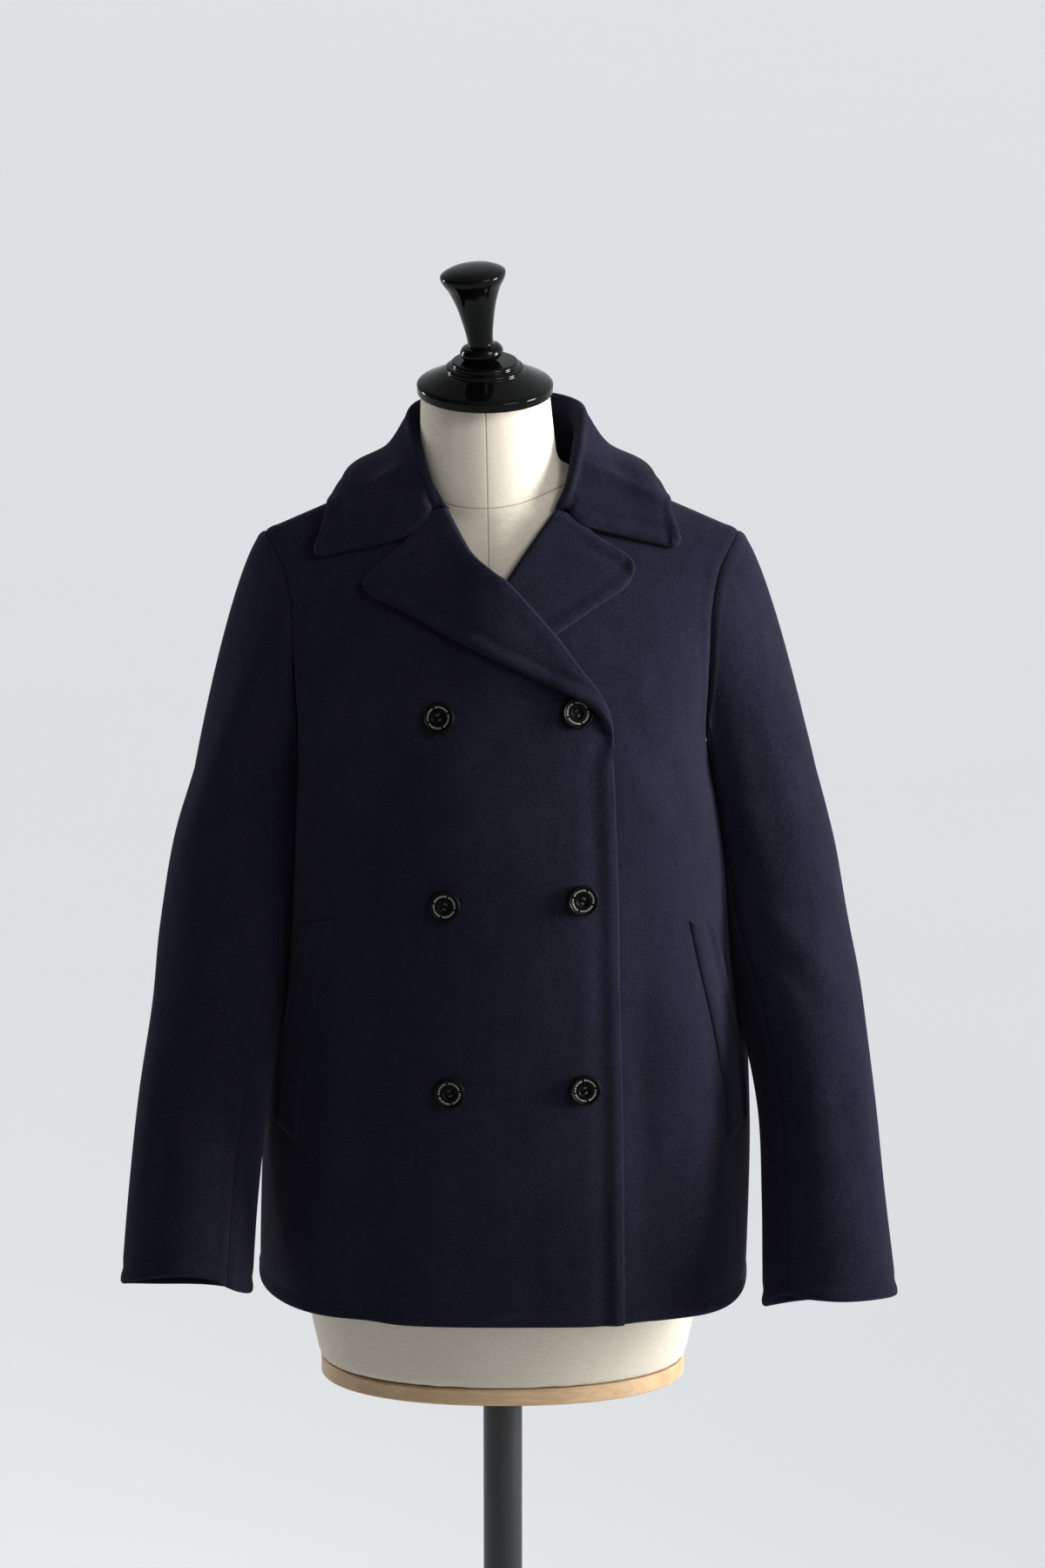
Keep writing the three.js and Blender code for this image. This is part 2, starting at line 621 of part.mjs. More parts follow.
// Offsets a grid of middle points to both sides along its own normals.
function thickened(grid, thickness) {
  const at = (i, j) => grid[THREE.MathUtils.clamp(i, 0, grid.length - 1)][
    THREE.MathUtils.clamp(j, 0, grid[0].length - 1)];
  const sides = [1, -1].map((sign) => grid.map((row, i) => row.map((p, j) => {
    const alongRow = at(i, j + 1).clone().sub(at(i, j - 1));
    const acrossRows = at(i + 1, j).clone().sub(at(i - 1, j));
    const normal = alongRow.cross(acrossRows).normalize();
    return p.clone().addScaledVector(normal, sign * thickness / 2);
  })));
  return shell(sides[0], sides[1]);
}

// Keeps a point of the collar clear of the panels below it.
function clearOfBody(p, clearance) {
  const half = p.y < SHOULDER_SEAM_Y ? -1 : 1;
  const x = p.x;
  const up = Math.min(p.z, ridgeUp(x));
  const base = coatPoint(x, up, half);
  const foot = new THREE.Vector3(base.at.x, base.at.y, base.at.z - HEM_HEIGHT);
  const need = clearance + (x < 0 && half < 0 ? topLift(x, up) : 0);
  const away = p.clone().sub(foot).dot(base.out);
  return away < need ? p.clone().addScaledVector(base.out, need - away) : p;
}

function makeCollar() {
  const clearance = 2 * SEAM_GAP + LAYER_GAP + DOUBLED_CLOTH / 2;
  const grid = collarGrid().map((row) => row.map((p, j) => (
    j < STAND_POINTS ? p : clearOfBody(p, clearance)
  )));
  const raised = grid.map((row) => row.map((p) => p.clone().setZ(p.z + HEM_HEIGHT)));
  return thickened(raised, DOUBLED_CLOTH);
}

// The sleeves

const AROUND = 2 * UPPER_ROWS;
const CAP_ROWS = 7;
const ARM_ROWS = 9;
const CAP_FULLNESS = 0.3;
const CAP_OUT = { mean: 0.635, atShoulder: 0.285 };
const CAP_DOWN = { mean: 0.665, atShoulder: 0.275 };
const CAP_SPREAD = 0.165;
const CAP_AHEAD = 0.28;
const FRONT_SEAM = 8;
const BACK_SEAM = 15;

// The armhole as a loop of outer and inner points, from the shoulder tip down the front and up the back.
function armholeLoop(side) {
  const half = AROUND / 2;
  const front = armholeEdge(FRONT_ARMHOLE, side, -1, half).reverse();
  const back = armholeEdge(BACK_ARMHOLE, side, 1, half);
  const points = [
    ...front.map((p) => coatPoint(p.x, p.y, -1)),
    ...back.slice(1, half).map((p) => coatPoint(p.x, p.y, 1)),
  ];
  points[0].at.y = SHOULDER_SEAM_Y;
  points[half].at.y = sideOf(readTable(BODY_SECTIONS, ARMPIT_UP), side, -1).seam;
  return points;
}

// The directions of a section: outwards from the coat, forwards, and down the arm.
function armFrame(arm, side, up) {
  const row = readTable(arm, up);
  const step = 4;
  const high = readTable(arm, up + step);
  const low = readTable(arm, up - step);
  const down = new THREE.Vector3(side * (low.out - high.out), high.forward - low.forward, low.up - high.up)
    .normalize();
  const out = new THREE.Vector3(side, 0, 0).addScaledVector(down, -side * down.x).normalize();
  const ahead = new THREE.Vector3().crossVectors(down, out).multiplyScalar(side).normalize();
  if (ahead.y > 0) ahead.negate();
  return { middle: new THREE.Vector3(side * row.out, -row.forward, HEM_HEIGHT + row.up), out, ahead, down, row };
}

function armPoint(frame, turn, inset) {
  const angle = 2 * Math.PI * turn;
  return frame.middle.clone()
    .addScaledVector(frame.out, (frame.row.wide - inset) * Math.cos(angle))
    .addScaledVector(frame.ahead, (frame.row.deep - inset) * Math.sin(angle));
}

// The direction in which the cloth leaves the armhole, by its place round it: most level at the shoulder,
// steepest under the arm, and spread to the front and the back between the two.
function capDirection(side, turn) {
  const angle = 2 * Math.PI * turn;
  const spread = CAP_SPREAD * Math.sin(angle) ** 2;
  return new THREE.Vector3(
    side * (CAP_OUT.mean + CAP_OUT.atShoulder * Math.cos(angle) + spread),
    -CAP_AHEAD * Math.sin(angle),
    -(CAP_DOWN.mean - CAP_DOWN.atShoulder * Math.cos(angle) - spread),
  ).normalize();
}

function hermite(from, to, leave, arrive, t) {
  const rise = 3 * t * t - 2 * t * t * t;
  return from.clone().lerp(to, rise)
    .addScaledVector(leave, t * (1 - t) * (1 - t))
    .addScaledVector(arrive, t * t * (t - 1));
}

function sleeveGrids(arm, side) {
  const loop = armholeLoop(side);
  const topUp = arm[0].up;
  const cuffUp = arm[arm.length - 1].up;
  const first = armFrame(arm, side, topUp);
  const outer = [];
  const inner = [];
  for (let k = 0; k <= CAP_ROWS; k += 1) {
    const t = k / CAP_ROWS;
    const rowOuter = [];
    const rowInner = [];
    for (let j = 0; j < AROUND; j += 1) {
      const turn = j / AROUND;
      const leave = capDirection(side, turn);
      const alongSeam = loop[(j + 1) % AROUND].at.clone().sub(loop[(j + AROUND - 1) % AROUND].at);
      const offSeam = alongSeam.clone().cross(loop[j].out).multiplyScalar(-side).normalize();
      const outward = alongSeam.clone().cross(leave).multiplyScalar(side).normalize();
      const turnsOver = Math.max(-outward.dot(loop[j].out), 0);
      const startOuter = loop[j].at.clone().addScaledVector(offSeam, 1.8 * SEAM_GAP)
        .addScaledVector(loop[j].out, 2 * SEAM_GAP * turnsOver);
      const startInner = startOuter.clone().addScaledVector(outward, -CLOTH);
      const endOuter = armPoint(first, turn, 0);
      const endInner = armPoint(first, turn, CLOTH);
      const reach = startOuter.distanceTo(endOuter);
      const away = leave.clone().multiplyScalar(reach * CAP_FULLNESS);
      const down = first.down.clone().multiplyScalar(reach * 0.8);
      rowOuter.push(hermite(startOuter, endOuter, away, down, t));
      rowInner.push(hermite(startInner, endInner, away, down, t));
    }
    outer.push(rowOuter);
    inner.push(rowInner);
  }
  for (let k = 1; k <= ARM_ROWS; k += 1) {
    const frame = armFrame(arm, side, lerp(topUp, cuffUp, k / ARM_ROWS));
    outer.push(Array.from({ length: AROUND }, (_, j) => armPoint(frame, j / AROUND, 0)));
    inner.push(Array.from({ length: AROUND }, (_, j) => armPoint(frame, j / AROUND, CLOTH)));
  }
  return { outer, inner };
}

// One cut piece of a sleeve, from one seam to the other, with a gap at both.
function sleevePiece({ outer, inner }, fromSeam, toSeam) {
  const count = (toSeam - fromSeam + AROUND) % AROUND;
  const cut = (grid) => grid.map((row, k) => {
    const points = [];
    for (let j = 0; j <= count; j += 1) points.push(row[(fromSeam + j) % AROUND].clone());
    const along = (j) => outer[k][(j + 1) % AROUND].clone().sub(outer[k][(j + AROUND - 1) % AROUND]).normalize();
    points[0].addScaledVector(along(fromSeam), SEAM_GAP / 2);
    points[count].addScaledVector(along(toSeam), -SEAM_GAP / 2);
    return points;
  });
  return shell(cut(outer), cut(inner));
}

// The pocket welts

function makeWelt(cut, lift) {
  const rows = patch(
    spaced(cut.seam, 10), spaced(cut.free, 10),
    straight(cut.seam[0], cut.free[0], 3),
    straight(cut.seam[cut.seam.length - 1], cut.free[cut.free.length - 1], 3),
  );
  return panel(rows, -1, (x, up) => lift(x, up) + CLOTH + LAYER_GAP);
}

// The buttons

function toManifold(geometry) {
  const bare = geometry.clone();
  bare.deleteAttribute('normal');
  bare.deleteAttribute('uv');
  const merged = mergeVertices(bare, 0.001);
  return new wasm.Manifold(new wasm.Mesh({
    numProp: 3,
    vertProperties: new Float32Array(merged.attributes.position.array),
    triVerts: new Uint32Array(merged.index.array),
  }));
}

function fromManifold(solid) {
  const mesh = solid.getMesh();
  const geometry = new THREE.BufferGeometry();
  geometry.setAttribute('position', new THREE.BufferAttribute(new Float32Array(mesh.vertProperties), 3));
  geometry.setIndex(new THREE.BufferAttribute(new Uint32Array(mesh.triVerts), 1));
  geometry.computeVertexNormals();
  return geometry;
}

// A solid turned from a profile of radius and height, both read as pairs.
function turned(profile, segments) {
  return new THREE.LatheGeometry(profile.map(([r, h]) => new THREE.Vector2(r, h)), segments)
    .rotateX(Math.PI / 2);
}

// A domed button with a raised rim and four thread holes.
function buttonGeometry() {
  const r = BUTTON_RADIUS;
  const t = BUTTON_THICKNESS;
  const holeRadius = 1.1;
  const holeSpacing = 2.1;
  const profile = [
    [0, 0], [r * 0.72, 0], [r * 0.94, t * 0.3], [r, t * 0.62], [r * 0.95, t * 0.92], [r * 0.86, t],
    [r * 0.76, t * 0.9], [r * 0.45, t * 0.84], [r * 0.36, t * 0.62], [0, t * 0.55],
  ];
  let solid = toManifold(turned(profile, 16));
  for (const [sx, sy] of [[1, 1], [1, -1], [-1, 1], [-1, -1]]) {
    const hole = new THREE.CylinderGeometry(holeRadius, holeRadius, 4 * t, 5).rotateX(Math.PI / 2)
      .translate(sx * holeSpacing, sy * holeSpacing, 0);
    solid = solid.subtract(toManifold(hole));
  }
  return fromManifold(solid);
}

function addButton({ name, x, up }) {
  const base = coatPoint(x, up, -1);
  const mesh = addPiece(name, buttonGeometry(), BUTTON_BLACK);
  mesh.position.copy(base.at).addScaledVector(base.out, topLift(x, up) + SEAM_GAP);
  mesh.quaternion.setFromUnitVectors(new THREE.Vector3(0, 0, 1), base.out);
}

// The dress form

const FORM_DROP = 4.6;
const FORM_COLUMNS = 22;
const NECK = { x: -7, topX: -13, y: -1, halfWidth: 52.5, halfDepth: 43, foot: 590, top: 722, tilt: 11 };

// The torso is a front and a back grid that meet at the sides and along the shoulder line.
function formTorso() {
  const tipX = 158;
  const lowest = FORM_SECTIONS[0].up;
  const shoulderFrom = 400;
  const rowAt = (k, levels, upper) => {
    const row = [];
    for (let j = 0; j <= FORM_COLUMNS; j += 1) {
      const angle = lerp(-Math.PI / 2, Math.PI / 2, j / FORM_COLUMNS);
      if (k <= levels) {
        const up = lerp(lowest, shoulderFrom, k / levels);
        row.push([acrossAt(FORM_SECTIONS, up, angle), up]);
      } else {
        const t = (k - levels) / upper;
        const sideUp = lerp(shoulderFrom, ridgeUp(tipX, FORM_DROP), t);
        const fullWidth = acrossAt(FORM_SECTIONS, sideUp, angle);
        const x = lerp(fullWidth, fullWidth * tipX / readTable(FORM_SECTIONS, sideUp).lWidth, t * t);
        row.push([x, lerp(shoulderFrom, ridgeUp(x, FORM_DROP), t)]);
      }
    }
    return row;
  };
  const levels = 9;
  const upper = 7;
  const grids = [-1, 1].map((half) => {
    const grid = [];
    for (let k = 0; k <= levels + upper; k += 1) {
      grid.push(rowAt(k, levels, upper).map(([x, up], j) => {
        const edge = j === 0 || j === FORM_COLUMNS || k === levels + upper;
        const y = edge ? SHOULDER_SEAM_Y : surfaceY(FORM_SECTIONS, x, up, half, FORM_DROP);
        return new THREE.Vector3(x, y, HEM_HEIGHT + up);
      }));
    }
    return grid;
  });
  const columns = FORM_COLUMNS + 1;
  const rows = grids[0].length;
  const positions = grids.flat(2).flatMap((p) => [p.x, p.y, p.z]);
  const behind = rows * columns;
  const triangles = [];
  for (let k = 0; k < rows - 1; k += 1) {
    for (let j = 0; j < columns - 1; j += 1) {
      const a = k * columns + j;
      const b = behind + a;
      triangles.push([a, a + 1, a + columns + 1], [a, a + columns + 1, a + columns]);
      triangles.push([b + columns + 1, b + 1, b], [b + columns, b + columns + 1, b]);
    }
  }
  for (let j = 0; j < columns - 1; j += 1) {
    triangles.push([j + 1, j, behind + j], [j + 1, behind + j, behind + j + 1]);
  }
  return closedGeometry(positions, triangles);
}

// The neck is a leaning oval column, cut off by the tilted plane of the cap.
function formNeck() {
  const shape = new THREE.Shape();
  shape.absellipse(0, 0, NECK.halfWidth, NECK.halfDepth, 0, 2 * Math.PI);
  const height = NECK.top - NECK.foot;
  const column = new THREE.ExtrudeGeometry(shape, {
    depth: height, steps: 1, bevelEnabled: false, curveSegments: 24,
  });
  const position = column.attributes.position;
  const slope = Math.tan(THREE.MathUtils.degToRad(NECK.tilt));
  for (let i = 0; i < position.count; i += 1) {
    const share = position.getZ(i) / height;
    const x = position.getX(i);
    const y = position.getY(i);
    position.setX(i, x * lerp(1.12, 0.96, share) + lerp(NECK.x, NECK.topX, share));
    position.setY(i, y * lerp(1.05, 0.98, share) + NECK.y);
    position.setZ(i, HEM_HEIGHT + NECK.foot + position.getZ(i) + share * y * slope);
  }
  return column;
}

function makeForm() {
  return fromManifold(toManifold(formTorso()).add(toManifold(formNeck())));
}

// Profiles of the lacquered pieces, radius and height from the neck's top.
const CAP_PROFILE = [
  [0, 0.3], [51, 0.3], [53, 1.5], [53, 4], [51, 5.5], [33, 14], [31, 14.6], [31, 17], [29, 18.4], [26.5, 18.8],
  [26.5, 21], [25, 22.4], [0, 22.4],
];
const FINIAL_PROFILE = [
  [0, 0.3], [14, 0.3], [16.5, 3.5], [16.8, 6.5], [14.5, 10], [10.5, 11.5], [10, 14], [11.2, 24], [15, 42],
  [20, 56], [24, 63], [25.5, 67], [24.6, 70], [17, 73.5], [8, 75], [0, 75.4],
];
const FINIAL_LEAN = 6;
const FINIAL_FOOT = 22.4;

function addLacquer() {
  const seat = new THREE.Group();
  seat.position.set(NECK.topX, NECK.y, HEM_HEIGHT + NECK.top);
  seat.rotation.x = THREE.MathUtils.degToRad(NECK.tilt);
  object.add(seat);
  const cap = addPiece('neck_cap', turned(CAP_PROFILE, 28), LACQUER);
  const finial = addPiece('finial', turned(FINIAL_PROFILE, 20), LACQUER);
  finial.position.set(-2, 0, FINIAL_FOOT + 2 * SEAM_GAP + 1);
  finial.rotation.y = THREE.MathUtils.degToRad(-FINIAL_LEAN);
  seat.add(cap, finial);
}

// The plain stand: bottom board, pole and round base.
const BOARD_THICKNESS = 14;
const POLE_RADIUS = 16;
const BASE_PROFILE = [
  [0, 0], [BASE_RADIUS, 0], [BASE_RADIUS, 7], [BASE_RADIUS - 6, 12], [70, 20], [30, 34], [26, 60], [0, 60],
];

function addStand() {
  const bottom = HEM_HEIGHT + FORM_SECTIONS[0].up;
  const row = FORM_SECTIONS[0];
  const rim = new THREE.Shape();
  for (let i = 0; i < 40; i += 1) {
    const angle = 2 * Math.PI * i / 40;
    const reach = (value) => Math.sign(value) * Math.abs(value) ** (2 / row.lCorner);
    const depth = Math.sin(angle) < 0 ? row.front : row.back;
    const x = (row.lWidth - 1) * reach(Math.cos(angle));
    const y = (depth - 1) * reach(Math.sin(angle));
    if (i) rim.lineTo(x, y);
    else rim.moveTo(x, y);
  }
  const board = new THREE.ExtrudeGeometry(rim, { depth: BOARD_THICKNESS, bevelEnabled: false });
  const boardFoot = bottom - SEAM_GAP - BOARD_THICKNESS;
  addPiece('bottom_board', board, PALE_WOOD).position.z = boardFoot;
  const baseTop = BASE_PROFILE[BASE_PROFILE.length - 1][1];
  const poleFoot = baseTop + SEAM_GAP;
  const poleTop = boardFoot - SEAM_GAP;
  addPiece('pole', turned([[0, poleFoot], [POLE_RADIUS, poleFoot], [POLE_RADIUS, poleTop], [0, poleTop]], 28),
    BLACK_STEEL);
  addPiece('base', turned(BASE_PROFILE, 36), BLACK_STEEL);
}

// The whole object

addPiece('back', makeBack(), MELTON);
addPiece('right_front', makeRightFront(), MELTON);
addPiece('left_front', makeLeftFront(), MELTON);
addPiece('lapel_right', makeLapel(TOP_LAPEL, overButton, 3, 8, 16), MELTON);
addPiece('lapel_left', makeLapel(UNDER_LAPEL, flush, 0, 8, 8), MELTON);
addPiece('collar', makeCollar(), MELTON);
for (const [name, arm, side] of [['sleeve_right', RIGHT_ARM, -1], ['sleeve_left', LEFT_ARM, 1]]) {
  const grids = sleeveGrids(arm, side);
  addPiece(`${name}_top`, sleevePiece(grids, BACK_SEAM, FRONT_SEAM), MELTON);
  addPiece(`${name}_under`, sleevePiece(grids, FRONT_SEAM, BACK_SEAM), MELTON);
}
addPiece('welt_right', makeWelt(RIGHT_WELT, topLift), MELTON);
addPiece('welt_left', makeWelt(LEFT_WELT, flush), MELTON);
BUTTONS.forEach(addButton);
addPiece('form_body', makeForm(), LINEN);
addLacquer();
addStand();

export default object;
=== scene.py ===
import json
import math
import bpy
import numpy as np
from mathutils import Matrix, Vector

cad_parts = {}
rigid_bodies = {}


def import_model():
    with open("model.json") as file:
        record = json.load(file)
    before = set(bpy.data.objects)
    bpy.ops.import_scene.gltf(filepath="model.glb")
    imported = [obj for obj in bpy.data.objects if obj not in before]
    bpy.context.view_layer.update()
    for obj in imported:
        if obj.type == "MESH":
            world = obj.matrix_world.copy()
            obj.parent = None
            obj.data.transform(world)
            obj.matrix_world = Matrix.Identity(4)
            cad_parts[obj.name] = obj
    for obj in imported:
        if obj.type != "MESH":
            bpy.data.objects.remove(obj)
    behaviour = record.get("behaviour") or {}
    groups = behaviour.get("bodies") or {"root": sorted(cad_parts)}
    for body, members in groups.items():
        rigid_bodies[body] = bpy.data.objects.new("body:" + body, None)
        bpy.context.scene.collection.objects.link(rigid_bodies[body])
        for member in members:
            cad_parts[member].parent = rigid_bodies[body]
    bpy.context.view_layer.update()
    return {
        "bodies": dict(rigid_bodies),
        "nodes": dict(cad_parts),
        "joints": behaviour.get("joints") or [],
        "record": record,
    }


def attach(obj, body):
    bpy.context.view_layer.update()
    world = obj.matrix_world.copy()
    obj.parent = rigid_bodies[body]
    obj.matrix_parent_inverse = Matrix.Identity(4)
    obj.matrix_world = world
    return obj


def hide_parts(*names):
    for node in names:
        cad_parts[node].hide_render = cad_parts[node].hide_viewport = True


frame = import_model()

# A double-breasted pea coat in navy melton on a linen dress form. Lengths are millimetres until a mesh is
# made.
# A height called up is counted from the coat's hem. The coat's front faces -Y.
MM = 0.001
HEM_HEIGHT = 750.0


# Camera, light and floor
def look_from(place, target):
    back = (Vector(place) - Vector(target)).normalized()
    return back.to_track_quat("Z", "Y").to_euler()


def add_camera():
    data = bpy.data.cameras.new("camera")
    data.lens = 100.0
    data.sensor_width = 36.0
    data.clip_start = 0.1
    data.clip_end = 60.0
    camera = bpy.data.objects.new("camera", data)
    elevation = math.radians(13.18)
    distance = 3.473
    target = Vector((0.0163, 0.0, 1.15385))
    camera.location = target + distance * Vector((0.0, -math.cos(elevation), math.sin(elevation)))
    camera.rotation_euler = look_from(camera.location, target)
    bpy.context.scene.collection.objects.link(camera)
    bpy.context.scene.camera = camera


def add_softbox(name, place, target, size, power, spread):
    """A gridded softbox: spread is the whole angle of its beam, in degrees."""
    data = bpy.data.lights.new(name, "AREA")
    data.shape = "RECTANGLE"
    data.size, data.size_y = size
    data.energy = power
    data.spread = math.radians(spread)
    light = bpy.data.objects.new(name, data)
    light.location = place
    light.rotation_euler = look_from(place, target)
    bpy.context.scene.collection.objects.link(light)


def add_lights():
    add_softbox("right_softbox", (2.7, -0.35, 1.6), (0.0, 0.0, 1.38), (0.8, 1.4), 29.0, 60.0)
    add_softbox("left_softbox", (-2.4, 1.4, 1.9), (0.0, 0.0, 1.4), (0.4, 1.5), 5.0, 60.0)
    add_softbox("high_softbox", (1.5, -1.5, 2.9), (0.0, 0.0, 1.42), (0.9, 0.9), 2.5, 45.0)


def add_studio():
    """Pale walls all round: brighter on the right and behind the object, dim behind the camera."""
    world = bpy.data.worlds.new("studio")
    world.use_nodes = True
    paint = Paint(world)
    x, y, z = paint.axes("Generated")
    walls = (x * 0.45 + y * 0.2 - z * 0.1 + 0.5).maths("MAXIMUM", 0.03)
    light = paint.node("ShaderNodeBackground", values={"Color": (0.955, 0.98, 1.0, 1.0), "Strength": walls})
    output = paint.node("ShaderNodeOutputWorld")
    paint.tree.links.new(light.outputs[0], output.inputs[0])
    bpy.context.scene.world = world
    bpy.context.scene.view_settings.view_transform = "Standard"


# Shader maths: a socket that takes Python's own operators
class Paint:
    def __init__(self, owner):
        self.tree = owner.node_tree
        self.tree.nodes.clear()

    def node(self, kind, settings=None, values=None):
        made = self.tree.nodes.new(kind)
        for key, value in (settings or {}).items():
            setattr(made, key, value)
        for key, value in (values or {}).items():
            self.feed(made.inputs[key], value)
        return made

    def feed(self, socket, value):
        if isinstance(value, Wire):
            self.tree.links.new(value.socket, socket)
        elif isinstance(value, bpy.types.NodeSocket):
            self.tree.links.new(value, socket)
        else:
            socket.default_value = value

    def place(self, kind="Object"):
        return self.node("ShaderNodeTexCoord").outputs[kind]

    def axes(self, kind="Object"):
        split = self.node("ShaderNodeSeparateXYZ", values={0: self.place(kind)})
        return [Wire(self, split.outputs[i]) for i in range(3)]

    def stretched(self, x, y, z):
        mapping = self.node("ShaderNodeMapping", values={"Vector": self.place(), "Scale": (x, y, z)})
        return mapping.outputs["Vector"]

    def noise(self, scale, detail=2.0, roughness=0.5, at=None):
        made = self.node("ShaderNodeTexNoise", values={
            "Vector": at or self.place(), "Scale": scale, "Detail": detail, "Roughness": roughness})
        return Wire(self, made.outputs["Fac"])

    def blend(self, share, first, second):
        made = self.node("ShaderNodeMix", {"data_type": "RGBA"}, {0: share, 6: first, 7: second})
        return made.outputs[2]

    def bump(self, height, strength, distance, normal=None):
        values = {"Height": height, "Strength": strength, "Distance": distance}
        if normal is not None:
            values["Normal"] = normal
        return self.node("ShaderNodeBump", values=values).outputs["Normal"]

    def surface(self, **values):
        shader = self.node("ShaderNodeBsdfPrincipled", values={
            key.replace("_", " ").title().replace("Ior", "IOR"): value for key, value in values.items()})
        output = self.node("ShaderNodeOutputMaterial")
        self.tree.links.new(shader.outputs[0], output.inputs[0])


class Wire:
    def __init__(self, paint, socket):
        self.paint = paint
        self.socket = socket

    def maths(self, operation, *others):
        made = self.paint.node("ShaderNodeMath", {"operation": operation})
        for i, value in enumerate((self, *others)):
            self.paint.feed(made.inputs[i], value)
        return Wire(self.paint, made.outputs[0])

    def __add__(self, other):
        return self.maths("ADD", other)

    __radd__ = __add__

    def __sub__(self, other):
        return self.maths("SUBTRACT", other)

    def __rsub__(self, other):
        return (self * -1.0) + other

    def __mul__(self, other):
        return self.maths("MULTIPLY", other)

    __rmul__ = __mul__

    def __truediv__(self, other):
        return self.maths("DIVIDE", other)

    def sine(self):
        return self.maths("SINE")

    def size(self):
        return self.maths("ABSOLUTE")

    def between(self, low, high):
        made = self.paint.node("ShaderNodeMapRange", {"interpolation_type": "SMOOTHSTEP"}, {
            "Value": self, "From Min": low, "From Max": high})
        return Wire(self.paint, made.outputs["Result"])


# Finishes
def new_material(name):
    material = bpy.data.materials.new(name)
    material.use_nodes = True
    return material, Paint(material)


def melton():
    material, paint = new_material("navy_melton")
    nap = paint.noise(1700.0, 3.0, 0.7)
    tufts = paint.noise(850.0, 3.0, 0.7)
    brushed = paint.noise(70.0, 3.0, 0.55, paint.stretched(1.0, 1.0, 0.35))
    cloudy = paint.noise(11.0, 2.0, 0.5)
    fleck = (nap * 0.45 + tufts * 0.55 + brushed * 0.12 + cloudy * 0.1).between(0.46, 0.76)
    colour = paint.blend(fleck, (0.0026, 0.0028, 0.0062, 1.0), (0.0128, 0.0120, 0.0222, 1.0))
    soft = paint.bump(brushed, 0.25, 0.0012)
    rough = paint.bump(nap * 0.4 + tufts * 0.8, 0.5, 0.0008, soft)
    paint.surface(
        base_color=colour, roughness=1.0, normal=rough, specular_ior_level=0.03,
        sheen_weight=0.05, sheen_roughness=0.5, sheen_tint=(0.76, 0.74, 1.0, 1.0))
    return material


def linen():
    material, paint = new_material("ecru_linen")
    x, y, z = paint.axes()
    warp = ((x * 0.8 + y * 0.6) * 7400.0 + paint.noise(90.0) * 5.0).sine()
    weft = (z * 7400.0 + paint.noise(80.0) * 5.0).sine()
    slub = paint.noise(420.0, 3.0, 0.6, paint.stretched(0.5, 0.5, 1.6))
    weave = warp * weft * 0.5 + 0.5
    tone = (weave * 0.35 + slub * 0.75).between(0.2, 0.9)
    cloth = paint.blend(tone, (0.46, 0.41, 0.33, 1.0), (0.57, 0.525, 0.445, 1.0))
    ring = ((z - x * 0.055 - y * 0.461 - 1.405) * 1000.0).size()
    centre = ((x + 0.0101 + (z - 1.35) * 0.02) * 1000.0).size() + y.between(-0.03, -0.02) * 20.0
    above = (z - x * 0.055 - y * 0.461).between(1.2, 1.21) * -1.0 + 1.0
    seam = ring.maths("MINIMUM", centre + above * 20.0)
    line = seam.between(0.15, 0.6)
    colour = paint.blend(line, (0.24, 0.2, 0.15, 1.0), cloth)
    normal = paint.bump(weave * 0.6 + slub * 0.5, 0.3, 0.0003, paint.bump(seam.between(0.1, 1.3), 0.25,
        0.0005))
    paint.surface(
        base_color=colour, roughness=0.88, normal=normal, specular_ior_level=0.3,
        sheen_weight=0.1, sheen_roughness=0.5)
    return material


def black_gloss(name, tint, roughness, shine):
    material, paint = new_material(name)
    smear = paint.noise(40.0, 3.0, 0.6)
    colour = paint.blend(smear, tint, tuple(c * 2.2 for c in tint[:3]) + (1.0,))
    paint.surface(
        base_color=colour, roughness=smear * 0.05 + roughness, normal=paint.bump(smear, 0.04, 0.001),
        specular_ior_level=shine)
    return material


def button_marks():
    material, paint = new_material("button_marks")
    wear = paint.noise(900.0, 2.0)
    colour = paint.blend(wear, (0.5, 0.52, 0.51, 1.0), (0.66, 0.68, 0.67, 1.0))
    paint.surface(base_color=colour, roughness=wear * 0.2 + 0.4, normal=paint.bump(wear, 0.1, 0.0001))
    return material


def sewing_thread():
    material, paint = new_material("black_thread")
    x, y, z = paint.axes()
    twist = ((x + y + z) * 9000.0).sine()
    colour = paint.blend(twist * 0.5 + 0.5, (0.006, 0.006, 0.008, 1.0), (0.03, 0.03, 0.036, 1.0))
    paint.surface(base_color=colour, roughness=0.6, normal=paint.bump(twist, 0.5, 0.0002))
    return material


def pale_wood():
    material, paint = new_material("pale_wood")
    rings = paint.noise(30.0, 4.0, 0.6, paint.stretched(0.12, 1.0, 1.0))
    pores = paint.noise(500.0, 2.0, 0.6, paint.stretched(0.05, 1.0, 1.0))
    tone = (rings * 0.8 + pores * 0.3).between(0.35, 0.75)
    colour = paint.blend(tone, (0.36, 0.22, 0.11, 1.0), (0.58, 0.4, 0.23, 1.0))
    paint.surface(base_color=colour, roughness=tone * 0.2 + 0.4, normal=paint.bump(pores, 0.2, 0.0004))
    return material


def black_steel():
    material, paint = new_material("black_steel")
    grain = paint.noise(700.0, 2.0, 0.6)
    colour = paint.blend(grain, (0.012, 0.012, 0.013, 1.0), (0.03, 0.03, 0.032, 1.0))
    paint.surface(base_color=colour, roughness=grain * 0.15 + 0.35, metallic=0.4,
                  normal=paint.bump(grain, 0.15, 0.0003))
    return material


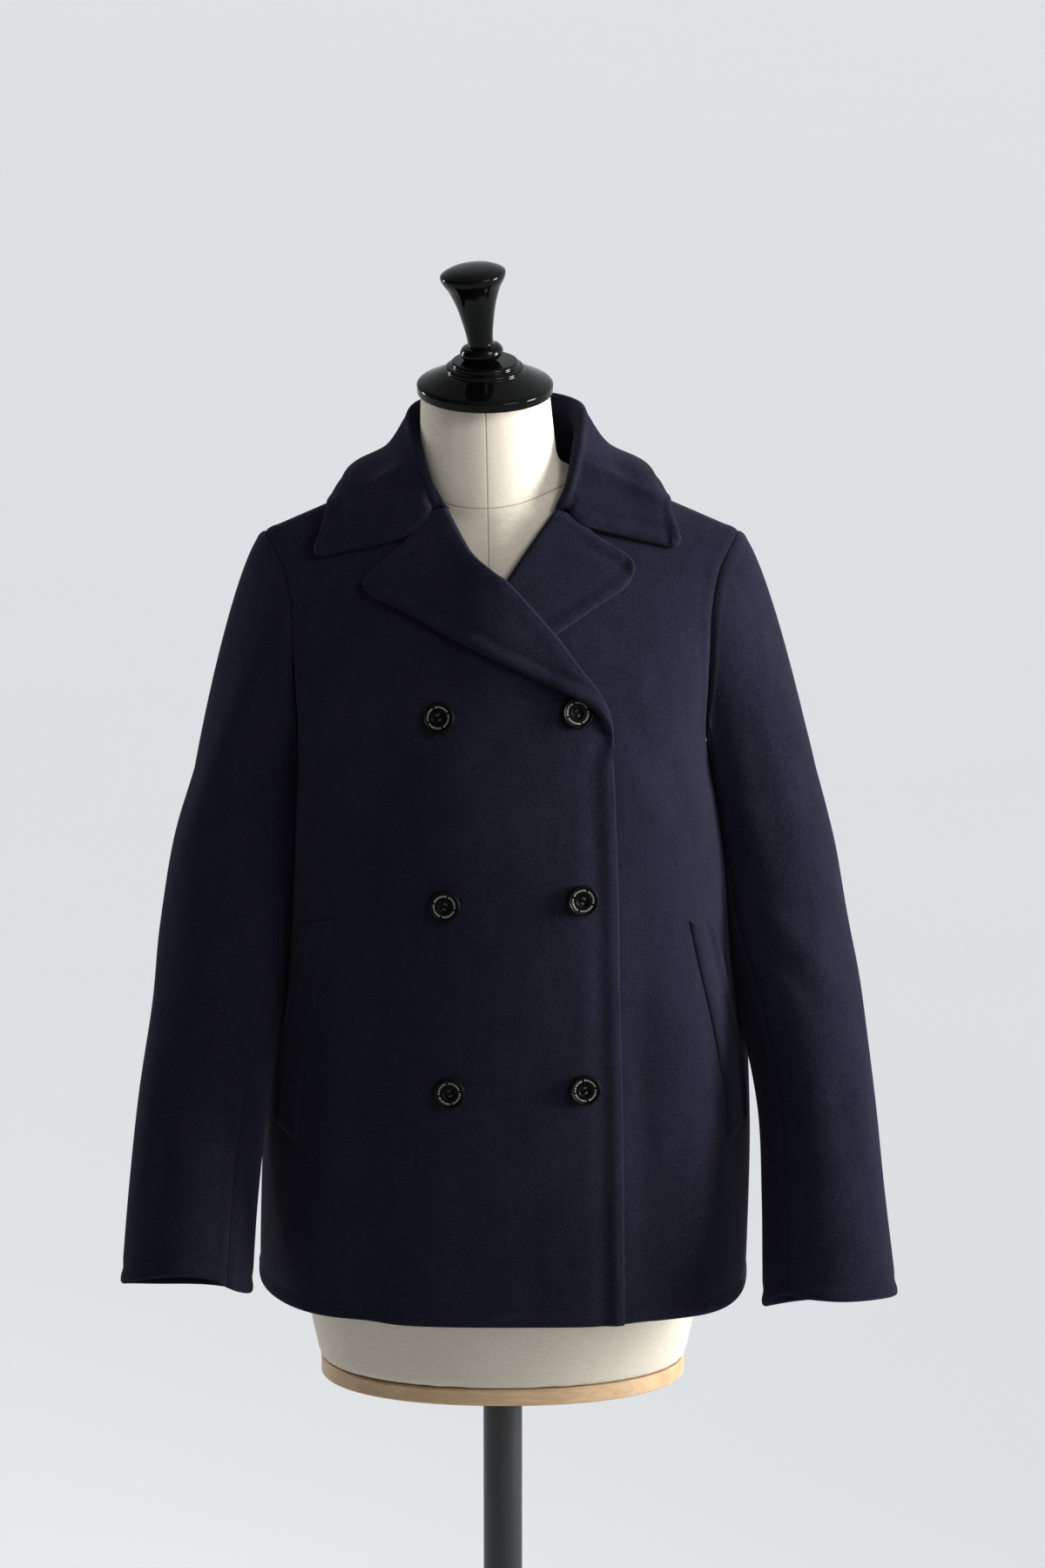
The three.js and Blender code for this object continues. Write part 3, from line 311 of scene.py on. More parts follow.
def floor_paint():
    material, paint = new_material("pale_floor")
    cloud = paint.noise(1.3, 2.0)
    colour = paint.blend(cloud, (0.43, 0.435, 0.44, 1.0), (0.45, 0.455, 0.46, 1.0))
    paint.surface(base_color=colour, roughness=0.9, specular_ior_level=0.2,
                  emission_color=(0.95, 0.98, 1.0, 1.0), emission_strength=0.56)
    return material


def add_floor(material):
    half = 40.0
    mesh = bpy.data.meshes.new("floor")
    mesh.from_pydata([(-half, -half, 0), (half, -half, 0), (half, half, 0),
        (-half, half, 0)], [], [(0, 1, 2, 3)])
    mesh.materials.append(material)
    floor = bpy.data.objects.new("floor", mesh)
    bpy.context.scene.collection.objects.link(floor)


MELTON = melton()
LINEN = linen()
LACQUER = black_gloss("black_lacquer", (0.0009, 0.0009, 0.0009, 1.0), 0.06, 0.12)
BUTTON_BLACK = black_gloss("button_black", (0.0009, 0.0009, 0.001, 1.0), 0.3, 0.05)
MARKS = button_marks()
THREAD = sewing_thread()
WOOD = pale_wood()
STEEL = black_steel()


# Meshes
def add_piece(name, points, faces, material, replaces=()):
    """points are millimetres in the part's frame."""
    mesh = bpy.data.meshes.new(name)
    mesh.from_pydata((np.asarray(points) * MM).tolist(), [], faces)
    mesh.validate()
    return finish_piece(name, mesh, material, replaces)


def finish_piece(name, mesh, material, replaces=()):
    mesh.materials.clear()
    mesh.materials.append(material)
    mesh.polygons.foreach_set("use_smooth", np.ones(len(mesh.polygons), bool))
    piece = bpy.data.objects.new(name, mesh)
    bpy.context.scene.collection.objects.link(piece)
    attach(piece, "root")
    if replaces:
        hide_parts(*replaces)
    return piece


def grid_normals(grid, round_about=False):
    """Outward or inward normals of a grid of points, by its neighbours. round_about joins the last column
    to the first."""
    down = np.gradient(grid, axis=0)
    if round_about:
        across = np.roll(grid, -1, axis=1) - np.roll(grid, 1, axis=1)
    else:
        across = np.gradient(grid, axis=1)
    normal = np.cross(across, down)
    return normal / np.maximum(np.linalg.norm(normal, axis=2, keepdims=True), 1e-9)


def shell_faces(rows, columns, flip):
    """Faces of a closed shell: an outer grid, the same grid inside it, and the rim that joins them."""
    index = np.arange(rows * columns).reshape(rows, columns)
    under = rows * columns
    quads = np.stack([index[:-1, :-1], index[:-1, 1:], index[1:, 1:], index[1:, :-1]], axis=-1).reshape(-1, 4)
    inner = quads[:, ::-1] + under
    rim = np.concatenate([index[0, :-1], index[:-1, -1], index[-1, :0:-1], index[:0:-1, 0]])
    following = np.roll(rim, -1)
    sides = np.stack([following, rim, rim + under, following + under], axis=-1)
    faces = np.concatenate([quads, inner, sides])
    return (faces[:, ::-1] if flip else faces).tolist()


def signed_volume(points, faces):
    corners = points[np.asarray(faces)]
    a, b, c, d = (corners[:, i] for i in range(4))
    return float(np.sum(a * np.cross(b, c)) + np.sum(a * np.cross(c, d)))


def cloth_shell(name, outer, inner, replaces):
    points = np.concatenate([outer.reshape(-1, 3), inner.reshape(-1, 3)])
    faces = shell_faces(outer.shape[0], outer.shape[1], False)
    if signed_volume(points, faces) < 0:
        faces = [face[::-1] for face in faces]
    return add_piece(name, points, faces, MELTON, replaces)


# Smooth tables and lines
def read(table, at):
    """Every column of a table at the given first-column values, on a smooth curve through the rows."""
    rows = np.array(table, float)
    if rows[0, 0] > rows[-1, 0]:
        rows = rows[::-1]
    keys = rows[:, 0]
    slope = np.empty_like(rows)
    slope[1:-1] = (rows[2:] - rows[:-2]) / (keys[2:] - keys[:-2])[:, None]
    slope[0] = (rows[1] - rows[0]) / (keys[1] - keys[0])
    slope[-1] = (rows[-1] - rows[-2]) / (keys[-1] - keys[-2])
    value = np.clip(np.asarray(at, float), keys[0], keys[-1])
    i = np.clip(np.searchsorted(keys, value, side="right") - 1, 0, len(keys) - 2)
    step = keys[i + 1] - keys[i]
    t = ((value - keys[i]) / step)[..., None]
    step = step[..., None]
    rise = 3 * t ** 2 - 2 * t ** 3
    return (rows[i] + (rows[i + 1] - rows[i]) * rise + t * (1 - t) ** 2 * step * slope[i]
            + t ** 2 * (t - 1) * step * slope[i + 1])


def smoothstep(value, low, high):
    t = np.clip((np.asarray(value, float) - low) / (high - low), 0, 1)
    return t * t * (3 - 2 * t)


def lerp(first, second, t):
    return first + (second - first) * t


def sampled(points, count=400):
    """Dense points of a uniform Catmull-Rom line."""
    p = np.array(points, float)
    t = np.linspace(0, len(p) - 1, count)
    i = np.clip(t.astype(int), 0, len(p) - 2)
    w = (t - i)[:, None]
    start, end = p[i], p[i + 1]
    leave = (end - p[np.maximum(i - 1, 0)]) / 2
    arrive = (p[np.minimum(i + 2, len(p) - 1)] - start) / 2
    return ((2 * start - 2 * end + leave + arrive) * w ** 3
            + (3 * end - 3 * start - 2 * leave - arrive) * w ** 2 + leave * w + start)


def at_lengths(dense, shares, solid=None):
    """Points at shares of a dense line's length. solid holds the same line's places in space, if they
    differ."""
    steps = np.linalg.norm(np.diff(dense if solid is None else solid, axis=0), axis=1)
    length = np.concatenate([[0], np.cumsum(steps)])
    target = np.asarray(shares) * length[-1]
    return np.stack([np.interp(target, length, dense[:, k]) for k in range(dense.shape[1])], axis=-1)


def line(points, shares):
    return at_lengths(sampled(points), shares)


def space_line(points, shares):
    """A smooth line through points in space, at shares of its own parameter."""
    p = np.array(points, float)
    knots = np.concatenate([[0], np.cumsum(np.sqrt(np.linalg.norm(np.diff(p, axis=0), axis=1)))])
    return read(np.column_stack([knots, p]), np.asarray(shares) * knots[-1])[..., 1:]


def shares(count, close_first=0.9, close_last=0.9):
    """Shares from 0 to 1 that crowd towards the first or the last end."""
    u = np.linspace(0, 1, count + 1)
    middle = u - min(close_first, close_last) * np.sin(2 * np.pi * u) / (2 * np.pi)
    rest = close_first - close_last
    bend = rest * (u * u - u) if rest > 0 else -rest * (u - u * u)
    return np.clip(middle + bend, 0, 1)


def patch(first, last, left, right, s, t):
    """A grid between four edges: rows run from first to last, columns from left to right."""
    s, t = s[None, :, None], t[:, None, None]
    corners = lerp(lerp(first[0], first[-1], s), lerp(last[0], last[-1], s), t)
    return lerp(first[None], last[None], t) + lerp(left[:, None], right[:, None], s) - corners


# The coat's form: level sections of (up, half widths left and right, side seams' Y, front and back depth,
# corners left and right). Left and right are the viewer's.
BODY_SECTIONS = [
    (0, 198, 197, 6, 26, 147, 150, 2.7, 3.6),
    (110, 194, 201, 8, 32, 144, 147, 2.5, 3.1),
    (190, 186, 199, 10, 34, 141, 142, 2.4, 2.7),
    (240, 178, 196, 10, 32, 139, 136, 2.4, 2.5),
    (290, 172, 190, 9, 26, 137, 129, 2.4, 2.4),
    (350, 168, 181, 6, 14, 134, 121, 2.35, 2.4),
    (400, 165, 172, 4, 6, 131, 114, 2.35, 2.35),
    (431, 164, 166, 3, 3, 127, 110, 2.35, 2.35),
    (470, 168, 169, 3, 3, 122, 111, 2.3, 2.3),
    (520, 179, 179, 3, 3, 110, 109, 2.3, 2.3),
    (560, 191, 191, 3, 3, 98, 101, 2.3, 2.3),
    (609, 208, 208, 3, 3, 84, 88, 2.3, 2.3),
    (700, 225, 225, 3, 3, 72, 78, 2.3, 2.3),
]
FORM_SECTIONS = [(up, w, w, 3, 3, front, back, 2.2, 2.2) for up, w, front, back in [
    (-75, 150, 89, 107), (0, 164, 99, 119), (60, 166, 102, 121), (140, 152, 95, 103), (240, 124, 85, 81),
    (320, 132, 101, 87), (400, 146, 119, 98), (440, 150, 116, 101), (480, 158, 110, 102), (520, 166, 101, 99),
    (560, 172, 91, 91), (600, 176, 79, 81), (700, 178, 66, 70),
]]
SHOULDER_WIDTH = 372.0
SHOULDER_TIP_UP = 609.0
SHOULDER_SLOPE = 0.43
SHOULDER_ROUNDING = 230.0
SHOULDER_FULLNESS = 0.55
SHOULDER_SEAM_Y = 3.0
ARMPIT_UP = 431.0
NECK_POINT_X = 74.0
BACK_NECK_UP = 638.0
SEAM_GAP = 0.3
LAYER_GAP = 0.9
CLOTH = 3.0
DOUBLED_CLOTH = 4.6

# Soft folds of (front -1 or back 1, top x, top up, foot x, foot up, width, rise): a rise below 0 is a trough.
HANGING_FOLDS = [
    (-1, 128, 470, 172, 0, 26, 3.5),
    (-1, 96, 400, 134, 0, 24, -3),
    (-1, 106, 400, 112, 0, 13, -2.2),
    (-1, -112, 460, -150, 0, 28, 3),
    (-1, -88, 330, -108, 0, 22, -2.2),
    (1, -70, 470, -112, 0, 30, 4),
    (1, 76, 450, 118, 0, 27, 4.5),
    (1, 4, 420, -8, 0, 34, -4),
    (1, -118, 380, -155, 0, 20, -3),
]
# Creases of (front -1 or back 1, start x, start up, end x, end up, bow, width, rise).
CREASES = [
    (-1, -150, 452, -52, 486, 8, 13, 1.6),
    (-1, -146, 434, -66, 452, 6, 11, -1.3),
    (-1, -148, 410, -84, 418, 4, 12, 1.0),
    (-1, -112, 560, -150, 470, 6, 12, -1.4),
    (-1, -20, 505, -96, 455, -6, 14, 1.2),
    (-1, 40, 492, -30, 440, -5, 11, -0.9),
    (-1, 100, 520, 148, 440, -8, 13, 1.7),
    (-1, 84, 470, 128, 380, 4, 13, 1.5),
    (-1, 112, 470, 150, 372, 5, 11, -1.6),
    (-1, -60, 300, -40, 180, 6, 18, -0.8),
    (-1, 20, 330, 36, 210, -5, 16, 0.7),
    (1, -150, 455, -70, 500, 8, 14, 1.8),
    (1, -148, 430, -80, 440, 6, 12, -1.5),
    (1, 150, 455, 66, 498, -8, 14, 1.8),
    (1, 148, 432, 84, 446, -5, 12, -1.5),
    (1, -60, 590, -130, 520, 6, 16, 1.2),
    (1, 58, 592, 128, 520, -6, 16, 1.2),
    (1, -40, 300, -60, 120, 6, 20, 1.4),
    (1, 44, 320, 66, 100, -6, 18, -1.4),
]


def ridge_up(x, drop=0.0):
    return SHOULDER_TIP_UP + (SHOULDER_WIDTH / 2 - np.abs(x)) * SHOULDER_SLOPE - drop


def shoulder_turn(x, up, drop):
    below = np.clip((ridge_up(x, drop) - up) / SHOULDER_ROUNDING, 0, 1)
    return (1 - (1 - below) ** 2) ** SHOULDER_FULLNESS


def quarter(sections, x, up, half):
    row = read(sections, up)
    left = x < 0
    width = np.where(left, row[..., 1], row[..., 2])
    seam = np.where(left, row[..., 3], row[..., 4])
    corner = np.where(left, row[..., 7], row[..., 8])
    return width, seam, corner, row[..., 5 if half < 0 else 6]


def surface_y(sections, x, up, half, drop=0.0):
    width, seam, corner, depth = quarter(sections, x, up, half)
    across = np.minimum(np.abs(x) / width, 1)
    bulge = (1 - across ** corner) ** (1 / corner)
    return seam + (half * depth - seam) * bulge * shoulder_turn(x, up, drop)


def surface_normal(sections, x, up, half, drop=0.0):
    y = surface_y(sections, x, up, half, drop)

    def outside(px, py, pu):
        width, seam, corner, depth = quarter(sections, px, pu, half)
        reach = np.abs(half * depth - seam) * shoulder_turn(px, pu, drop)
        return (np.abs(px) / width) ** corner + (np.abs(py - seam) / np.maximum(reach, 1e-6)) ** corner

    h = 0.05
    normal = np.stack([
        outside(x + h, y, up) - outside(x - h, y, up),
        outside(x, y + h, up) - outside(x, y - h, up),
        outside(x, y, up + h) - outside(x, y, up - h)], axis=-1)
    ridge = np.stack([np.sign(x) * SHOULDER_SLOPE, np.zeros_like(x), np.ones_like(x)], axis=-1)
    normal = np.where((ridge_up(x, drop) - up < 0.1)[..., None], ridge, normal)
    return normal / np.linalg.norm(normal, axis=-1, keepdims=True)


def hanging_rise(x, up, half):
    total = np.zeros_like(x)
    for side, top_x, top_up, foot_x, foot_up, width, rise in HANGING_FOLDS:
        if side == half:
            down = np.clip((top_up - up) / (top_up - foot_up), 0, 1)
            away = (x - lerp(top_x, foot_x, down)) / width
            total = total + rise * smoothstep(down, 0, 0.6) * np.exp(-away * away)
    return total


def crease_rise(creases, half, x, up):
    total = np.zeros_like(x)
    for side, x0, up0, x1, up1, bow, width, rise in creases:
        if side == half:
            length = math.hypot(x1 - x0, up1 - up0)
            ux, uy = (x1 - x0) / length, (up1 - up0) / length
            along = ((x - x0) * ux + (up - up0) * uy) / length
            across = (-(x - x0) * uy + (up - up0) * ux - bow * 4 * along * (1 - along)) / width
            fade = smoothstep(along, -0.12, 0.3) * (1 - smoothstep(along, 0.6, 1.12))
            total = total + rise * fade * np.exp(-across * across)
    return total


def coat_point(x, up, half):
    x, up = np.broadcast_arrays(np.asarray(x, float), np.asarray(up, float))
    y = surface_y(BODY_SECTIONS, x, up, half) + half * SEAM_GAP / 2
    out = surface_normal(BODY_SECTIONS, x, up, half)
    rise = hanging_rise(x, up, half) + crease_rise(CREASES, half, x, up)
    return np.stack([x, y, HEM_HEIGHT + up], axis=-1) + out * rise[..., None], out


def across_at(up, angle):
    width, _, corner, _ = quarter(BODY_SECTIONS, angle, up, -1)
    return np.sign(angle) * width * np.sin(np.abs(angle)) ** (2 / corner)


def angle_at(up, x):
    width, _, corner, _ = quarter(BODY_SECTIONS, x, up, -1)
    return np.sign(x) * np.arcsin(np.minimum(np.abs(x) / width, 1) ** (corner / 2))


# Cut lines, in the plane of x and up
FRONT_ARMHOLE = [(163.6, 433.5), (162, 441), (160.9, 453), (161, 468), (162.5, 494), (163.5, 524),
    (165, 553), (171, 582)]
BACK_ARMHOLE = [(163.6, 433.5), (162, 441), (161.5, 455), (163, 474), (166, 500), (168, 532), (171, 563),
    (177, 590)]
TOP_EDGE = [(0, 97), (160, 95), (264, 92), (345, 90), (431, 86.5)]
UNDER_EDGE = [(0, -72), (160, -72), (264, -71), (345, -70), (431, -69)]
TOP_ROLL = [(84.5, 460), (77, 488), (58, 513), (37, 540), (2, 577), (-23, 599), (-41, 628)]
UNDER_ROLL = [(-66, 460), (-58, 488), (-42, 514), (-24, 541), (4, 579), (23, 607), (41, 631)]
FRONT_NECK = [(50, 633), (60, 639), (69, 648.5)]
BACK_NECK = [(67, 649), (48, 641.5), (25, 638.5)]
TOP_LAPEL = {
    "end": [(-41, 629), (-51, 626), (-66, 613), (-79, 601), (-101, 584), (-107, 575)],
    "long": [(-107, 575), (-100, 567), (-71, 555), (-37, 538), (-9, 525), (42, 501), (63, 490), (76, 478),
        (83, 463), (86.3, 446)],
    "roll": [(-41, 629), (-23, 600), (2, 578), (37, 541), (58, 514), (77, 489), (84.5, 465), (86.8, 446)],
}
UNDER_LAPEL = {
    "end": [(41, 629), (52, 625), (65, 616), (85, 604), (98, 596), (103, 587)],
    "long": [(103, 587), (96, 574), (70.5, 559), (39, 540), (29, 533)],
    "roll": [(41, 629), (23, 606), (4, 580), (-7, 566)],
}
RIGHT_WELT = {
    "seam": [(-130, 318), (-138, 281), (-145, 242), (-152, 203), (-158, 169), (-160, 134)],
    "free": [(-153, 309), (-159, 284), (-166, 246), (-173, 210), (-178, 172), (-180, 142)],
}
LEFT_WELT = {
    "seam": [(145, 316), (153, 277), (162, 238), (169, 203), (175, 169), (177, 134)],
    "free": [(164, 311), (171, 280), (179, 243), (186, 208), (191, 174), (193, 140)],
}


def sided(points, side):
    return [(side * x, up) for x, up in points]


def seam_x(side, up):
    return side * quarter(BODY_SECTIONS, np.full_like(up, side), up, -1)[0]


def armhole(side, half, at):
    """Points of an armhole seam at shares of its real length, from the armpit to the shoulder's tip."""
    pit = (float(seam_x(side, np.array(ARMPIT_UP))), ARMPIT_UP)
    tip = (side * SHOULDER_WIDTH / 2, SHOULDER_TIP_UP)
    points = FRONT_ARMHOLE if half < 0 else BACK_ARMHOLE
    dense = sampled([pit, *sided(points, side), tip], 700)
    return at_lengths(dense, at, coat_point(dense[:, 0], dense[:, 1], half)[0])


def lower_grid(from_x, to_x, s, t):
    up = (ARMPIT_UP * t)[:, None]
    start, end = angle_at(up, from_x(up)), angle_at(up, to_x(up))
    x = across_at(up, lerp(start, end, s[None]))
    return np.stack([x, np.broadcast_to(up, x.shape)], axis=-1)


def neck_point(side):
    return (side * NECK_POINT_X, float(ridge_up(NECK_POINT_X)))


def shoulder_tip(side):
    return (side * SHOULDER_WIDTH / 2, SHOULDER_TIP_UP)


def joined_line(parts, s):
    """One line from stretches of (points, share at its end), read at shares s."""
    result = np.empty((len(s), 2))
    start = 0.0
    for points, end in parts:
        inside = (s >= start) & (s <= end + 1e-9)
        result[inside] = line(points, (s[inside] - start) / (end - start))
        start = end
    return result


# Cloth edges. A distance is counted from the edge, over the cloth.
def edge_distances(grid):
    across = np.linalg.norm(np.diff(grid, axis=1), axis=2)
    down = np.linalg.norm(np.diff(grid, axis=0), axis=2)
    zero_column, zero_row = np.zeros((grid.shape[0], 1)), np.zeros((1, grid.shape[1]))
    from_left = np.concatenate([zero_column, np.cumsum(across, axis=1)], axis=1)
    from_first = np.concatenate([zero_row, np.cumsum(down, axis=0)], axis=0)
    return {
        "left": from_left, "right": from_left[:, -1:] - from_left,
        "first": from_first, "last": from_first[-1:] - from_first,
    }


def pulled_in(distance, radius):
    """How far a rounded edge of that radius falls away from the flat face."""
    inside = np.clip(radius - distance, 0, radius)
    return radius - np.sqrt(np.maximum(radius ** 2 - inside ** 2, 0))


def fade(distance, middle, width):
    return np.exp(-((distance - middle) / width) ** 2)


# What an edge does to the cloth: rows of (distance from the edge, width, rise) on its outer face.
EDGE_WAVES = {
    "front": [(7, 5, 0.8), (18, 8, -1.5)],
    "free": [(5, 4.5, 0.7), (13, 4, -0.6)],
    "seam": [(6, 3.5, 0.5), (0, 1.6, -0.45)],
    "roll": [(9, 6, 0.5)],
    "laid": [],
}


def make_cloth(name, grid, normal, edges, replaces, thickness=3.4, turn_in=1.0, distance=None):
    """A closed cloth piece under a grid of its outer face's points.

    edges gives each side's finish,
        or two finishes and the shares of the side between which one turns into the other.
    """
    distance = distance or edge_distances(grid)
    rows, columns = grid.shape[:2]
    depth = np.full((rows, columns), float(thickness))
    rise = np.zeros((rows, columns))
    finishes = []
    for side, given in edges.items():
        if isinstance(given, str):
            finishes.append((side, given, np.ones((1, 1))))
        else:
            first, second, low, high = given
            count = rows if side in ("left", "right") else columns
            turned = smoothstep(np.linspace(0, 1, count), low, high)
            turned = turned[:, None] if side in ("left", "right") else turned[None]
            finishes += [(side, first, 1 - turned), (side, second, turned)]
    for side, kind, share in finishes:
        d = distance[side]
        for middle, width, height in EDGE_WAVES[kind]:
            rise += share * height * fade(d, middle, width)
        if kind in ("free", "front"):
            depth += share * 1.8 * turn_in * fade(d, 0, 11)
        elif kind == "roll":
            depth += share * 3.6 * fade(d, 0, 7)
    outer_pull, inner_pull = np.zeros((rows, columns)), np.zeros((rows, columns))
    for side, kind, share in finishes:
        full = {"seam": 0.5, "laid": thickness * 1.1}.get(kind, depth / 2)
        pull = share * pulled_in(distance[side] / (2.2 if kind == "laid" else 1), full)
        outer_pull = np.maximum(outer_pull, pull)
        if kind not in ("seam", "laid"):
            inner_pull = np.maximum(inner_pull, pull)
    outer = grid + normal * (rise - outer_pull)[..., None]
    inner = grid + normal * (rise - depth + inner_pull)[..., None]
    return cloth_shell(name, outer, inner, replaces)


def rounded_corner(grid, distance, row, column, radius):
    """Rounds one corner of a grid: row and column are 0 or -1. Changes the grid and its edge distances."""
    row_side = "first" if row == 0 else "last"
    column_side = "left" if column == 0 else "right"
    p = np.clip(1 - distance[row_side] / radius, 0, 1)
    q = np.clip(1 - distance[column_side] / radius, 0, 1)
    round_p, round_q = p * np.sqrt(1 - q * q / 2), q * np.sqrt(1 - p * p / 2)
    down = np.gradient(grid, axis=0) * (1 if row == 0 else -1)
    across = np.gradient(grid, axis=1) * (1 if column == 0 else -1)
    down /= np.linalg.norm(down, axis=-1, keepdims=True)
    across /= np.linalg.norm(across, axis=-1, keepdims=True)
    grid += down * (radius * (p - round_p))[..., None] + across * (radius * (q - round_q))[..., None]
    inside = (p > 0) & (q > 0)
    to_arc = radius * (1 - np.hypot(round_p, round_q))
    for side in (row_side, column_side):
        distance[side] = np.where(inside, np.maximum(to_arc, 0), distance[side])


def normals_towards(grid, out):
    normal = grid_normals(grid)
    return normal * np.sign(np.sum(normal * out, axis=-1, keepdims=True))


# Panels
OVERLAP = CLOTH + LAYER_GAP
LAPEL_GAP = 0.9


def no_lift(x, up):
    return np.zeros_like(x)


def top_lift(x, up):
    covers = smoothstep(x, -112, -76)
    between = smoothstep(x, -46, -14) * smoothstep(up, 492, 524) * (1 - smoothstep(up, 584, 608))
    return OVERLAP * covers + (DOUBLED_CLOTH + LAPEL_GAP) * between


def make_panel(name, flat, half, lift, edges, thickness=3.4, turn_in=1.0):
    at, out = coat_point(flat[..., 0], flat[..., 1], half)
    grid = at + out * lift(flat[..., 0], flat[..., 1])[..., None]
    return make_cloth(name, grid, normals_towards(grid, out), edges, [name.replace("cloth_", "")],
        thickness, turn_in)


def make_back():
    s = shares(150)
    lower_t, upper_t = shares(95, 0.9, 0.0), shares(70, 0.0, 0.9)
    lower = lower_grid(lambda up: seam_x(-1, up), lambda up: seam_x(1, up), s, lower_t)
    neck = [neck_point(-1), *sided(BACK_NECK, -1),
        (0, BACK_NECK_UP), *sided(BACK_NECK[::-1], 1), neck_point(1)]
    top = joined_line([
        ([shoulder_tip(-1), neck_point(-1)], 0.292), (neck, 0.708),
        ([neck_point(1), shoulder_tip(1)], 1.0)], s)
    left, right = armhole(-1, 1, upper_t), armhole(1, 1, upper_t)
    upper = patch(lower[-1], top, left, right, s, upper_t)
    flat = np.concatenate([lower, upper[1:]])
    return make_panel("cloth_back", flat, 1, no_lift,
                      {"left": "seam", "right": "seam", "last": "seam", "first": "free"})


def make_front(name, side, edge, roll, lift):
    s = shares(110)
    lower_t, upper_t = shares(95, 0.9, 0.0), shares(70, 0.0, 0.9)
    lower = lower_grid(lambda up: read(edge, up)[..., 1], lambda up: seam_x(side, up), s, lower_t)
    corner = (edge[-1][1], ARMPIT_UP)
    neck = [roll[-1], *sided(FRONT_NECK, side), neck_point(side)]
    top = joined_line([(roll, 0.556), (neck, 0.667), ([neck_point(side), shoulder_tip(side)], 1.0)], s)
    upper = patch(lower[-1], top, line([corner, roll[0]], upper_t), armhole(side, -1, upper_t), s, upper_t)
    flat = np.concatenate([lower, upper[1:]])
    return make_panel(name, flat, -1, lift, {"left": "front", "right": "seam", "last": "seam",
        "first": "free"})


def over_button(x, up):
    away = np.hypot(x - 57, up - 485)
    return top_lift(x, up) + (4.6 + LAYER_GAP) * (1 - smoothstep(away, 15, 38))


def make_lapel(name, cut, lift, out_past, merges):
    """A lapel from its roll to its long edge. merges is the share of its length over which its foot sinks
    away."""
    s, t = shares(120), shares(70)
    roll, long = line(cut["roll"], s), line(cut["long"], s)
    roll = roll + np.array(out_past) * (1 - smoothstep(s, 0.85, 1))[:, None]
    flat = patch(roll, long, lerp(roll[0], long[0], t[:, None]) + line(cut["end"], t)
                 - lerp(np.array(cut["end"][0]), np.array(cut["end"][-1]), t[:, None]),
                 lerp(roll[-1], long[-1], t[:, None]), s, t)
    sinks = smoothstep(s, 1 - merges, 1) if merges else np.zeros_like(s)
    tucked = (1 - smoothstep(s, 0, 0.05)) * (1 - smoothstep(t, 0.36, 0.5))[:, None]
    upwards = (flat[:, :1] - flat[:, 8:9]) / np.linalg.norm(flat[:, :1] - flat[:, 8:9], axis=-1,
        keepdims=True)
    flat = flat + upwards * (1.6 * tucked)[..., None]
    at, out = coat_point(flat[..., 0], flat[..., 1], -1)
    raised = (lift(flat[..., 0], flat[..., 1]) + (LAPEL_GAP + DOUBLED_CLOTH + 0.6) * (1 - 1.1 * sinks)
              - 0.7 * tucked)
    grid = at + out * raised[..., None]
    return make_cloth(name, grid, normals_towards(grid, out),
                      {"left": ("seam", "free", 0.35, 0.55), "right": "laid", "first": "roll",
                          "last": "free"},
                      [name.replace("cloth_", "")], DOUBLED_CLOTH, 0.8)


def make_welt(name, cut, lift):
    s, t = shares(70), shares(24)
    flat = patch(line(cut["seam"], s), line(cut["free"], s), line([cut["seam"][0], cut["free"][0]], t),
                 line([cut["seam"][-1], cut["free"][-1]], t), s, t)
    at, out = coat_point(flat[..., 0], flat[..., 1], -1)
    grid = at + out * (lift(flat[..., 0], flat[..., 1]) + 3.3)[..., None]
    return make_cloth(name, grid, normals_towards(grid, out),
                      {"left": "laid", "right": "laid", "first": "laid", "last": "free"},
                      [name.replace("cloth_", "")], 3.0, 0.35)


# Each side of the collar, from the middle of the back to the front: (share, folded top x, y, up, outer edge
# x, y, up).
COLLAR_SECTIONS = {
    -1: [
        (0, 0, 62, 708, 0, 78, 620), (0.2, 33, 56, 708, 61, 70, 621), (0.4, 57, 37, 706, 107, 44, 632),
        (0.55, 67, 14, 700, 126, 8, 640), (0.7, 64, -12, 684, 135.5, -18, 628),
        (0.85, 55, -32, 657, 143, -32, 609),
        (1, 44, -42, 634, 148, -40, 591),
    ],
    1: [
        (0, 0, 62, 708, 0, 78, 620), (0.2, 31, 57, 708, 60, 70, 621), (0.4, 53, 38, 705, 103, 44, 633),
        (0.55, 59, 16, 700, 122.5, 8, 641.5), (0.7, 57, -10, 683, 130.5, -18, 631),
        (0.85, 51, -32, 656, 138, -32, 614),
        (1, 43, -42, 634, 141, -40, 598),
    ],
}
# The collar's front ends over the fronts, from the neck past the notch to the collar's point
COLLAR_ENDS = {
    -1: [(44, 632), (50, 627), (57, 620.8), (66, 613.5), (73, 609), (86, 605.5), (102, 601.5),
        (120, 597.5), (134, 594), (148, 591)],
    1: [(44, 632), (50, 627.5), (57, 622.3), (63, 618), (75, 614.5), (90, 610.5), (106, 606), (122, 602),
        (134, 599), (141, 598)],
}


